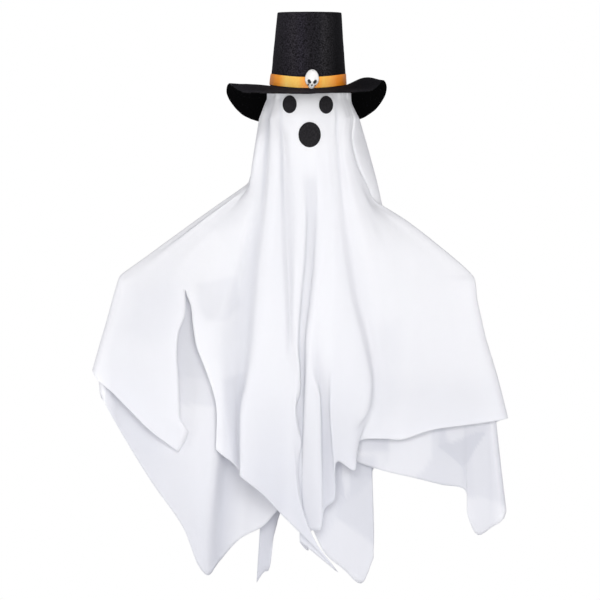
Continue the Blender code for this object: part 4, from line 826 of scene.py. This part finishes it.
HAT_COLUMNS = 180  # round the hat
CROWN_ROWS = 24
BRIM_ROWS = 28
# painted shade: faces that point down get a darker copy of the felt
BRIM_UNDERSIDE = -0.05  # faces that point down more than this are in the brim's own shade
TOP_PROFILE = (
    (0.3, -0.0006), (0.6, -0.0005), (0.85, -0.0003), (0.965, -0.0001), (0.99, -0.0003), (1.0, -0.0009),
)
STITCH_RADIUS = 0.0013
STITCH_PROFILE = ((1.0, -0.0005), (1.0, 0.0003), (0.6, 0.0008))
RIBBON_COLUMNS = 260
RIBBON_ROWS = 12
# Skull hollows: across and up as shares of half the width and height, then half sizes, depth, slant
SKULL_HOLLOWS = (
    (-0.38, -0.30, 0.31, 0.21, 0.3, -0.5), (0.42, -0.30, 0.31, 0.21, 0.3, 0.5),
    (0.02, -0.66, 0.14, 0.11, 0.2, 0.0), (-0.5, -0.62, 0.13, 0.13, 0.2, 0.6),
    (0.52, -0.70, 0.13, 0.13, 0.2, -0.6), (0.06, 0.88, 0.09, 0.05, 0.12, 0.0),
)
SKULL_TILT = 4  # degrees
SKULL_UP = 0.86  # share of the ribbon's width from its lower edge up to the skull's middle
SKULL_SEAT = 0.25  # share of the skull's depth that its middle lies in front of the ribbon
JAW_FROM = 0.2  # share of half the height below the middle where the jaw begins
JAW_NARROWING = 0.34
JAW_CURVE = 1.3
JAW_FLATTENING = 0.25
CHEEK_TOP = 0.55  # share of half the height below the middle where the jaw's sides curve
SOCKET_PAINT = 0.95  # the painted share of a hollow
# A patch from its middle to its edge and back below: share of its size, share of its thickness
PATCH_PROFILE = (
    (0.25, 1.0), (0.5, 1.0), (0.75, 1.0), (0.93, 1.0), (0.985, 0.85), (1.0, 0.5), (0.99, 0.1),
    (0.75, 0.05), (0.4, 0.05),
)
PATCH_COLUMNS = 72
PATCH_WOBBLE = 0.012  # share of its size by which its hand-cut edge wanders


def add_piece(name, bm, material, nodes, sharp=40):
    mesh = bpy.data.meshes.new(name)
    bmesh.ops.recalc_face_normals(bm, faces=bm.faces)
    bm.to_mesh(mesh)
    bm.free()
    mesh.materials.append(material)
    mesh.shade_smooth()
    mesh.set_sharp_from_angle(angle=math.radians(sharp))
    piece = bpy.data.objects.new(name, mesh)
    bpy.context.scene.collection.objects.link(piece)
    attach(piece, "root")
    if nodes:
        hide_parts(*nodes)
    return piece


def ring_surface(bm, rings, close_first=None, close_last=None):
    """Quads through closed rings of points, with optional pole points at either end."""
    rows = [[bm.verts.new(point) for point in ring] for ring in rings]
    count = len(rows[0])
    for upper, lower in zip(rows, rows[1:]):
        for i in range(count):
            j = (i + 1) % count
            bm.faces.new((upper[i], lower[i], lower[j], upper[j]))
    for pole, row in ((close_first, rows[0]), (close_last, rows[-1])):
        if pole is not None:
            middle = bm.verts.new(pole)
            for i in range(count):
                bm.faces.new((middle, row[i], row[(i + 1) % count]))


def closed_profile(bm, around, profile):
    """A closed ring solid: profile(degrees) gives the points of its cross-section."""
    columns = [[bm.verts.new(point) for point in profile(360 * i / around)] for i in range(around)]
    count = len(columns[0])
    for i in range(around):
        j = (i + 1) % around
        for k in range(count):
            m = (k + 1) % count
            bm.faces.new((columns[i][k], columns[i][m], columns[j][m], columns[j][k]))


def felt_wobble(point, size):
    """A small unevenness of hand-cut felt."""
    return noise.noise(point * 28) * size + noise.noise(point * 95) * size * 0.35


def build_hat(felt, shaded_felt):
    def crown_profile(degrees):
        """Down the outside and back up the inside of the crown's wall."""
        top = -FELT - GAP
        foot = crown_foot(degrees)
        points = []
        for i in range(CROWN_ROWS + 1):
            share = i / CROWN_ROWS
            height = top + (foot - top) * share
            place = hat_point(degrees, crown_radius(height), height)
            swell = felt_wobble(place, 0.0006) * math.sin(math.pi * share)
            points.append(hat_point(degrees, crown_radius(height) + swell, height))
        for share in (1.0, 0.5, 0.0):
            height = top + (foot - top) * share
            points.append(hat_point(degrees, crown_radius(height) - FELT, height))
        return points

    bm = bmesh.new()
    closed_profile(bm, HAT_COLUMNS, crown_profile)
    add_piece("hat_crown_felt", bm, felt, ["hat_crown"], 60)

    rim = CROWN_TOP_RADIUS
    turns = [360 * i / HAT_COLUMNS for i in range(HAT_COLUMNS)]
    bm = bmesh.new()
    rings = []
    for share, height in TOP_PROFILE:
        ring = []
        for turn in turns:
            place = hat_point(turn, rim * share, height)
            place.z -= abs(felt_wobble(place, 0.0003))
            ring.append(place)
        rings.append(ring)
    for radius in (rim - 0.0003, rim * 0.5):
        rings.append([hat_point(turn, radius, -FELT) for turn in turns])
    ring_surface(bm, rings, (0, 0, -0.0006), (0, 0, -FELT))
    add_piece("hat_top_felt", bm, felt, ["hat_top"], 60)

    def brim_profile(degrees):
        foot = crown_foot(degrees) - GAP
        middle_radius = round_value(BRIM_MIDDLE, 1, degrees) * MM
        middle = -CROWN_HEIGHT - round_value(BRIM_MIDDLE, 2, degrees) * MM
        edge_radius = round_value(BRIM_EDGE, 1, degrees) * MM
        edge = -CROWN_HEIGHT - round_value(BRIM_EDGE, 2, degrees) * MM
        knots = (BRIM_HOLE_RADIUS, CROWN_BASE_RADIUS, middle_radius, edge_radius)
        heights = (foot, foot, middle, edge)
        upper = []
        for k in range(BRIM_ROWS + 1):
            radius = BRIM_HOLE_RADIUS + (edge_radius - BRIM_HOLE_RADIUS) * k / BRIM_ROWS
            height = smooth_value(knots, heights, radius)
            place = hat_point(degrees, radius, height)
            outward = max(0, (radius - CROWN_BASE_RADIUS) / (edge_radius - CROWN_BASE_RADIUS))
            place.z += felt_wobble(place, 0.0012) * outward
            upper.append(place)
        lower = []
        for k, place in enumerate(upper):
            ahead = upper[min(k + 1, len(upper) - 1)] - upper[max(k - 1, 0)]
            side = Vector((math.cos(math.radians(degrees)), math.sin(math.radians(degrees)), 0))
            down = ahead.cross(side)
            if down.z > 0:
                down.negate()
            lower.append(place + down.normalized() * FELT)
        return upper + lower[::-1]

    bm = bmesh.new()
    closed_profile(bm, HAT_COLUMNS, brim_profile)
    brim = add_piece("hat_brim_felt", bm, felt, ["hat_brim"], 60)
    # painted shade: the underside faces get the darker copy of the felt
    brim.data.materials.append(shaded_felt)
    for face in brim.data.polygons:
        if face.normal.z < BRIM_UNDERSIDE:
            face.material_index = 1

    bm = bmesh.new()
    rings = []
    for share, height in STITCH_PROFILE:
        ring = []
        for turn in [2 * math.pi * i / 12 for i in range(12)]:
            x = STITCH_RADIUS * math.cos(turn) * share
            y = STITCH_RADIUS * math.sin(turn) * share
            ring.append((x, y, height))
        rings.append(ring)
    ring_surface(bm, rings, (0, 0, -0.0005), (0, 0, 0.0009))
    add_piece("hat_top_stitch", bm, felt, [], 60)


def build_ribbon(satin):
    """The ribbon round the crown: slightly slack, with rolled edges and shallow wrinkles."""
    stand_off = GAP + RIBBON

    def profile(degrees):
        low = crown_foot(degrees) + GAP + FELT / 2
        high = low + BAND_WIDTH
        outer = []
        for k in range(RIBBON_ROWS + 1):
            share = k / RIBBON_ROWS
            height = low + (high - low) * share
            place = hat_point(degrees, crown_radius(height), height)
            ripple = noise.noise(Vector((place.x * 60, place.y * 60, place.z * 14))) * 0.0007
            ripple += noise.noise(Vector((place.x * 22, place.y * 22, share * 1.4))) * 0.0006
            edge = 1 - 0.3 * (2 * share - 1) ** 4
            swell = (stand_off + 0.0002 + max(ripple, -0.0004)) * edge
            outer.append(hat_point(degrees, crown_radius(height) + swell, height))
        inner = []
        for share in (1.0, 0.5, 0.0):
            height = low + (high - low) * share
            inner.append(hat_point(degrees, crown_radius(height) + GAP * 0.6, height))
        return outer + inner

    bm = bmesh.new()
    closed_profile(bm, RIBBON_COLUMNS, profile)
    add_piece("hat_ribbon", bm, satin, ["hat_band"], 50)


def build_skull(plastic, paint):
    """The skull bead: round brainpan, slanted sockets, nose hole and small jaw."""
    bm = bmesh.new()
    bmesh.ops.create_uvsphere(bm, u_segments=96, v_segments=72, radius=0.5)
    half_w = CHARM_WIDTH / 2
    dark = set()
    for vert in bm.verts:
        x, y, z = vert.co * 2
        jaw = max(0.0, -z - JAW_FROM) / (1 - JAW_FROM)
        x *= 1 - JAW_NARROWING * min(jaw, 1) ** JAW_CURVE
        y *= 1 - JAW_FLATTENING * min(jaw, 1)
        if z < -CHEEK_TOP:
            x *= 1 + 0.12 * math.sin((z + CHEEK_TOP) * 9)
        depth = 0
        if y < 0:
            for across, up, wide, high, deep, slant in SKULL_HOLLOWS:
                u = x - across
                v = z - up
                a = (u * math.cos(slant) + v * math.sin(slant)) / wide
                b = (v * math.cos(slant) - u * math.sin(slant)) / high
                away = a * a + b * b
                depth = max(depth, deep * max(0, 1 - away) ** 0.5)
                if away < SOCKET_PAINT:
                    dark.add(vert.index)
        y = min(y, 0.5)
        vert.co = Vector((x * half_w, (y + depth) * CHARM_DEPTH / 2, z * CHARM_HEIGHT / 2))
    for face in bm.faces:
        if all(vert.index in dark for vert in face.verts):
            face.material_index = 1
    middle = crown_foot(0) + BAND_WIDTH * SKULL_UP
    seat = crown_radius(middle) + 2 * GAP + RIBBON + CHARM_DEPTH * SKULL_SEAT
    flare = math.atan((CROWN_BASE_RADIUS - CROWN_TOP_RADIUS) / CROWN_HEIGHT)
    turn = Matrix.Rotation(math.radians(CHARM_TURN), 4, "Z") @ Matrix.Rotation(-flare, 4, "X")
    turn = turn @ Matrix.Rotation(math.radians(SKULL_TILT), 4, "Y")
    place = Matrix.Translation(hat_point(CHARM_TURN, seat, middle)) @ turn
    bmesh.ops.transform(bm, matrix=place, verts=bm.verts)
    skull = add_piece("skull_bead", bm, plastic, ["skull_charm"], 80)
    skull.data.materials.append(paint)


def build_inside(foam, steel):
    bm = bmesh.new()
    bmesh.ops.create_icosphere(bm, subdivisions=6, radius=HEAD_RADIUS)
    bmesh.ops.translate(bm, vec=head_centre(), verts=bm.verts)
    add_piece("foam_ball", bm, foam, ["head_ball"], 80)
    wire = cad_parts["arm_wire"].data.materials
    wire.clear()
    wire.append(steel)


# Sheets

TOP_ANGLES = [3.75 * i for i in range(25)]  # degrees down from the head's top
FINE_LEVELS = [118.9 + 2.43 * i for i in range(70)] + [289 + 2.44 * i for i in range(26)]  # grid rows
HEM_STEPS = 50  # from the last of those rows down to the hem
CREASE_ROW = 125  # small folds begin below this grid row
CREASE_ROWS = 110  # and grow over this many
CREASE_NEAR = 7 * MM  # cloth this near to the arms' plane has the fewest
CREASE_REACH = 18 * MM  # and cloth this much further away has them in full
CREASE_LEAST = 0.12
NET_SQUARE = 0.006  # the net's columns lie about this far apart, with 2 to 8 of them between two ribs
CLOTH_SHOWN = 0.4 * MM  # the sheets' thickness in this scene
SLITS_OUTER = {"slit_left": 289}  # the rib at its left side, and the grid row of its top
SLITS_UNDER = {"under_slit_left": 350, "tail_left": 350}
# How far back the outline shade is painted: the outer sheet's back gets none of the painted shade of
# its front
OUTER_SHADE_REACH = 12 * MM
UNDER_SHADE_REACH = 1


def rib_column(rib):
    points = [rib.on_head(angle) for angle in TOP_ANGLES]
    points += [rib.at(grid_point(0, level, 0).z) for level in FINE_LEVELS]
    start = points[-1].z
    hem = rib.points[-1].z
    points += [rib.at(start + (hem - start) * (i + 1) / HEM_STEPS) for i in range(HEM_STEPS)]
    return points


def row_down(height):
    """The drawing grid's row at a height."""
    return HEAD_ROW + (head_centre().z - height) / SQUARE


def row_of_level(level):
    distances = [abs(fine - level) for fine in FINE_LEVELS]
    return len(TOP_ANGLES) + distances.index(min(distances))


def painted_shade_share(table, name, down):
    """How much painted shade darkens the cloth at a fold line, this many rows down."""
    if name not in table:
        return 0.0
    rows = [row for row, _ in table[name]]
    shares = [share for _, share in table[name]]
    return max(smooth_value(rows, shares, down), 0)


def outline_shade_share(shade_outlines, across, down):
    """How much painted shade a point on the grid gets inside the shade outlines; a negative share
    paints it lighter.
    """
    total = 0.0
    for share, softness, corners in shade_outlines:
        inside = False
        nearest = 1e9
        for (x0, y0), (x1, y1) in zip(corners, (*corners[1:], corners[0])):
            wide = x1 - x0
            high = y1 - y0
            if (y0 > down) != (y1 > down) and across < x0 + (down - y0) * wide / high:
                inside = not inside
            along = ((across - x0) * wide + (down - y0) * high) / (wide ** 2 + high ** 2)
            along = min(max(along, 0), 1)
            nearest = min(nearest, math.hypot(across - x0 - along * wide, down - y0 - along * high))
        depth = nearest if inside else -nearest
        ramp = min(max(0.5 + depth / (2 * softness), 0), 1)
        total += share * ramp * ramp * (3 - 2 * ramp)
    return total


def sheet_mesh(ribs, slits, shade_table, shade_outlines, shade_reach):
    """A fine net through the ribs, open along its slits, with each point's share of painted shade."""
    columns = [rib_column(rib) for rib in ribs]
    names = [rib.name for rib in ribs]
    count = len(ribs)
    rows = len(columns[0])
    slit_rows = {names.index(rib): row_of_level(level) for rib, level in slits.items()}
    for i, top_row in slit_rows.items():
        for row in range(top_row + 1):
            columns[i + 1][row] = columns[i][row]
    bm = bmesh.new()
    # painted shade: the layers attribute holds each point's share of it
    layers = bm.verts.layers.float.new("layers")
    pole = bm.verts.new(columns[0][0])
    made = {}

    def neighbour(i, step, row):
        """The rib point next to rib i, or one mirrored through it at an open slit."""
        cut = i if step > 0 else (i - 1) % count
        if cut in slit_rows:
            if row > slit_rows[cut]:
                return 2 * columns[i][row] - columns[(i - step) % count][row]
            return columns[(i + 2 * step) % count][row]
        return columns[(i + step) % count][row]

    def vertex(i, part, row):
        i %= count
        if row == 0:
            return pole
        if part == 0 and (i - 1) % count in slit_rows and row <= slit_rows[(i - 1) % count]:
            i = (i - 1) % count
        if (i, part, row) not in made:
            place = columns[i][row]
            if part:
                j = (i + 1) % count
                place = between(neighbour(i, -1, row), columns[i][row], columns[j][row],
                                neighbour(j, 1, row), part)
            vert = bm.verts.new(place)
            down = row_down(place.z)
            # painted shade from the fold-line tables, blended between neighbouring ribs
            here = painted_shade_share(shade_table, names[i], down)
            beyond = painted_shade_share(shade_table, names[(i + 1) % count], down)
            across = MIDDLE_COLUMN + place.x / SQUARE
            vert[layers] = here + (beyond - here) * part
            # painted shade from the outlines, only on points not too far back
            if place.y < shade_reach:
                vert[layers] += outline_shade_share(shade_outlines, across, down)
            made[i, part, row] = vert
        return made[i, part, row]

    for i in range(count):
        if i in slit_rows:
            continue
        j = (i + 1) % count
        reach = max((columns[i][row] - columns[j][row]).length for row in range(0, rows, 6))
        steps = min(max(round(reach / NET_SQUARE), 2), 8)
        parts = [(i, k / steps) for k in range(steps)] + [(i + 1, 0)]
        for (left, left_part), (right, right_part) in zip(parts, parts[1:]):
            for row in range(rows - 1):
                corners = [vertex(left, left_part, row), vertex(left, left_part, row + 1),
                           vertex(right, right_part, row + 1), vertex(right, right_part, row)]
                if row == 0:
                    corners.pop()
                bm.faces.new(corners)
    return bm


def crease(bm):
    """Small upright folds and crumples, fading out over the head and along the arms."""
    bm.normal_update()
    moves = []
    for vert in bm.verts:
        p = vert.co
        grown = ramp_up(row_down(p.z), CREASE_ROW, CREASE_ROWS)
        apart = max(ramp_up(abs(p.y), CREASE_NEAR, CREASE_REACH), CREASE_LEAST)
        folds = noise.noise(Vector((p.x * 40, p.y * 40, p.z * 4))) * 0.8
        folds += noise.noise(Vector((p.x * 90, p.y * 90, p.z * 9 + 7))) * 0.15
        crumple = noise.noise(Vector((p.x * 60 + 3, p.y * 60, p.z * 40))) * 0.15
        swell = folds * grown * apart + crumple * (0.3 + 0.7 * grown * apart)
        moves.append(vert.normal * swell * MM)
    for vert, move in zip(bm.verts, moves):
        vert.co += move


def build_cloth(name, ribs, slits, shading, material, node):
    bm = sheet_mesh(ribs, slits, *shading)
    crease(bm)
    piece = add_piece(name, bm, material, [node], 180)
    shell = piece.modifiers.new("thickness", "SOLIDIFY")
    shell.thickness = CLOTH_SHOWN
    shell.offset = -1
    shell.use_even_offset = False
    return piece


def build_patch(name, centre, size, sheet, material):
    """A felt oval that follows the front of the outer sheet, slightly hand-cut."""
    tree = BVHTree.FromPolygons(
        [vert.co for vert in sheet.data.vertices], [face.vertices[:] for face in sheet.data.polygons]
    )
    bm = bmesh.new()

    def on_cloth(x, z, rise):
        hit = tree.ray_cast(Vector((x, -1, z)), Vector((0, 1, 0)))[0]
        return Vector((x, hit.y - GAP - rise, z))

    rings = []
    for share, rise in PATCH_PROFILE:
        ring = []
        for i in range(PATCH_COLUMNS):
            turn = 2 * math.pi * i / PATCH_COLUMNS
            swing = Vector((math.cos(turn) * 3, math.sin(turn) * 3, size[0] * 900))
            edge = 1 + PATCH_WOBBLE * noise.noise(swing)
            x = centre.x + share * edge * size[0] / 2 * math.cos(turn)
            z = centre.z + share * edge * size[1] / 2 * math.sin(turn)
            ring.append(on_cloth(x, z, FACE_FELT * rise))
        rings.append(ring)
    top = on_cloth(centre.x, centre.z, FACE_FELT)
    foot = on_cloth(centre.x, centre.z, FACE_FELT * 0.05)
    ring_surface(bm, rings, top, foot)
    add_piece(name + "_felt", bm, material, [name], 80)


# Room and light


def build_room():
    floor = bpy.data.meshes.new("floor")
    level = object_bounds()[0][2] - FLOOR_BELOW
    corners = [(x * FLOOR_SIZE, y * FLOOR_SIZE, level) for x, y in ((-1, -1), (1, -1), (1, 1), (-1, 1))]
    floor.from_pydata(corners, [], [(0, 1, 2, 3)])
    plane = bpy.data.objects.new("floor", floor)
    bpy.context.scene.collection.objects.link(plane)
    floor.materials.append(new_material("floor", (0.85, 0.85, 0.86), 0.9)[0])
    world = bpy.data.worlds.new("room")
    bpy.context.scene.world = world
    world.use_nodes = True
    tree = world.node_tree
    tree.nodes.clear()
    links = tree.links
    seen = add_node(tree, "ShaderNodeBackground", Color=(1, 1, 1, 1), Strength=1.0)
    light = add_node(tree, "ShaderNodeBackground", Color=(*ROOM_COLOUR, 1), Strength=ROOM_STRENGTH)
    path = add_node(tree, "ShaderNodeLightPath")
    mix = add_node(tree, "ShaderNodeMixShader")
    output = add_node(tree, "ShaderNodeOutputWorld")
    links.new(path.outputs["Is Camera Ray"], mix.inputs["Fac"])
    links.new(light.outputs["Background"], mix.inputs[1])
    links.new(seen.outputs["Background"], mix.inputs[2])
    links.new(mix.outputs["Shader"], output.inputs["Surface"])


def add_lamp(name, place, size, watts, colour):
    data = bpy.data.lights.new(name, "AREA")
    data.shape = "RECTANGLE"
    data.size = size[0]
    data.size_y = size[1]
    data.energy = watts
    data.color = colour
    lamp = bpy.data.objects.new(name, data)
    lamp.location = place
    lamp.visible_camera = False
    lamp.rotation_euler = (Vector(LAMP_TARGET) - Vector(place)).to_track_quat("-Z", "Y").to_euler()
    bpy.context.scene.collection.objects.link(lamp)


def build_camera():
    data = bpy.data.cameras.new("camera")
    data.lens = LENS
    data.sensor_width = 36
    data.clip_end = 100
    camera = bpy.data.objects.new("camera", data)
    across = (PHOTO_MIDDLE - MIDDLE_COLUMN) * SQUARE
    camera.location = (across, -CAMERA_AWAY, (TOP_ROW - PHOTO_MIDDLE) * SQUARE)
    camera.rotation_euler = (math.radians(90), 0, 0)
    bpy.context.scene.collection.objects.link(camera)
    bpy.context.scene.camera = camera


# The scene

TOP_ROW = 12.4  # the photograph's row of the hat's top
PHOTO_MIDDLE = 300  # its middle row and column
CAMERA_AWAY = 16
LENS = 600
FLOOR_SIZE = 6
FLOOR_BELOW = 0.25
LAMP_TARGET = (0, 0, -0.3)
BANDS_REACH = CROWN_BASE_RADIUS * 1.1
CLOTH_WHITE = (0.95, 0.953, 0.957)
# painted shade: the colour factor that the painted shade tables and outlines darken the cloth towards
PAINTED_SHADE_COLOUR = (0.8, 0.808, 0.84)
CLOTH_THROUGH = (0.93, 0.93, 0.96)
CLOTH_SHINE_THROUGH = 0.45
SATIN_ORANGE = (1.0, 0.66, 0.16)
SATIN_DEEP = (0.97, 0.55, 0.09)
# painted light: painted highlights and deeper orange shade across the ribbon, by mm from the middle
SATIN_PAINTED_LIGHT = ((-62, (1, 0.5, 0.12)), (-48, (1, 0.6, 0.2)), (-38, (1, 1, 1)), (-18, (1, 0.95, 0.9)),
               (-8, (1, 0.6, 0.25)), (14, (1, 0.65, 0.3)), (22, (1, 0.9, 0.8)), (32, (1, 0.75, 0.5)),
               (45, (1, 0.5, 0.1)), (60, (0.9, 0.45, 0.1)))
# painted light: upright bands of painted sheen across the crown, darker at its sides and most to its
# right
CROWN_PAINTED_LIGHT = (
    (-56, (0.5, 0.5, 0.5)), (-36, (0.75, 0.72, 0.8)), (-26, (1, 0.95, 1)), (-14, (0.9, 0.85, 1)),
    (0, (0.6, 0.58, 0.62)), (14, (0.65, 0.65, 0.68)), (23, (1, 1, 0.97)), (31, (0.65, 0.65, 0.63)),
    (42, (0.2, 0.2, 0.2)), (54, (0.1, 0.1, 0.1)),
)
ROOM_COLOUR = (0.95, 0.945, 1.0)
ROOM_STRENGTH = 0.42

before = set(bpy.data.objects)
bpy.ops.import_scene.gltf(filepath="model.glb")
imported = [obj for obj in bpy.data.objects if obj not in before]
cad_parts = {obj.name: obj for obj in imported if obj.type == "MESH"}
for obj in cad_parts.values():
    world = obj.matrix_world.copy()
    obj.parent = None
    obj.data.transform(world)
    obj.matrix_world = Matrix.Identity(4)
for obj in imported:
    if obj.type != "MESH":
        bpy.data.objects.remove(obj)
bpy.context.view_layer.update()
bpy.context.scene.view_settings.view_transform = "Standard"

hat_felt = felt_material(
    "black_felt", (0.002, 0.002, 0.0023), (0.034, 0.032, 0.037), 0.04, 0.08, CROWN_PAINTED_LIGHT,
)
# painted shade: a darker, dull copy of the hat felt for the brim's underside
brim_painted_shade_felt = felt_material("brim_painted_shade_felt", (0.001, 0.001, 0.0011), (0.002, 0.002, 0.0022), 0.0, 0.02)
face_felt = felt_material("face_felt", (0.006, 0.0055, 0.0065), (0.016, 0.015, 0.017), 0.1, 0.2)
paint = new_material("black_paint", (0.01, 0.01, 0.01), 0.5)[0]
cloth = cloth_material("white_cloth")
build_hat(hat_felt, brim_painted_shade_felt)
build_ribbon(satin_material())
build_skull(plastic_material(), paint)
build_inside(foam_material(), steel_material())
outer_ribs = sheet_ribs(OUTER_FRONT, OUTER_BACK, (LEFT_TIP_OUTER, RIGHT_TIP_OUTER), OUTER_NECKS, 2)
outer_shading = (OUTER_PAINTED_SHADE, OUTER_SHADE_OUTLINES, OUTER_SHADE_REACH)
outer = build_cloth("outer_cloth", outer_ribs, SLITS_OUTER, outer_shading, cloth, "outer_sheet")
under_ribs = sheet_ribs(UNDER_FRONT, UNDER_BACK, (LEFT_TIP_UNDER, RIGHT_TIP_UNDER), UNDER_NECKS, 1)
under_shading = (UNDER_PAINTED_SHADE, UNDER_SHADE_OUTLINES, UNDER_SHADE_REACH)
build_cloth("under_cloth", under_ribs, SLITS_UNDER, under_shading, cloth, "under_sheet")
for name, middle, size in (
    ("left_eye", (289.6, 105), EYE_SIZE),
    ("right_eye", (326, 105.5), EYE_SIZE),
    ("mouth", (309.6, 135.4), MOUTH_SIZE),
):
    build_patch(name, grid_point(*middle, 0), size, outer, face_felt)

build_room()
build_camera()
add_lamp("key", (0.05, -1.7, -0.34), (1.1, 1.1), 25.3, (1, 0.995, 0.985))
add_lamp("left", (-1.7, -0.35, -0.55), (0.9, 1.2), 11, (1, 1, 1))
add_lamp("right", (1.7, -0.35, -0.35), (0.9, 1.2), 7.5, (1, 1, 1))
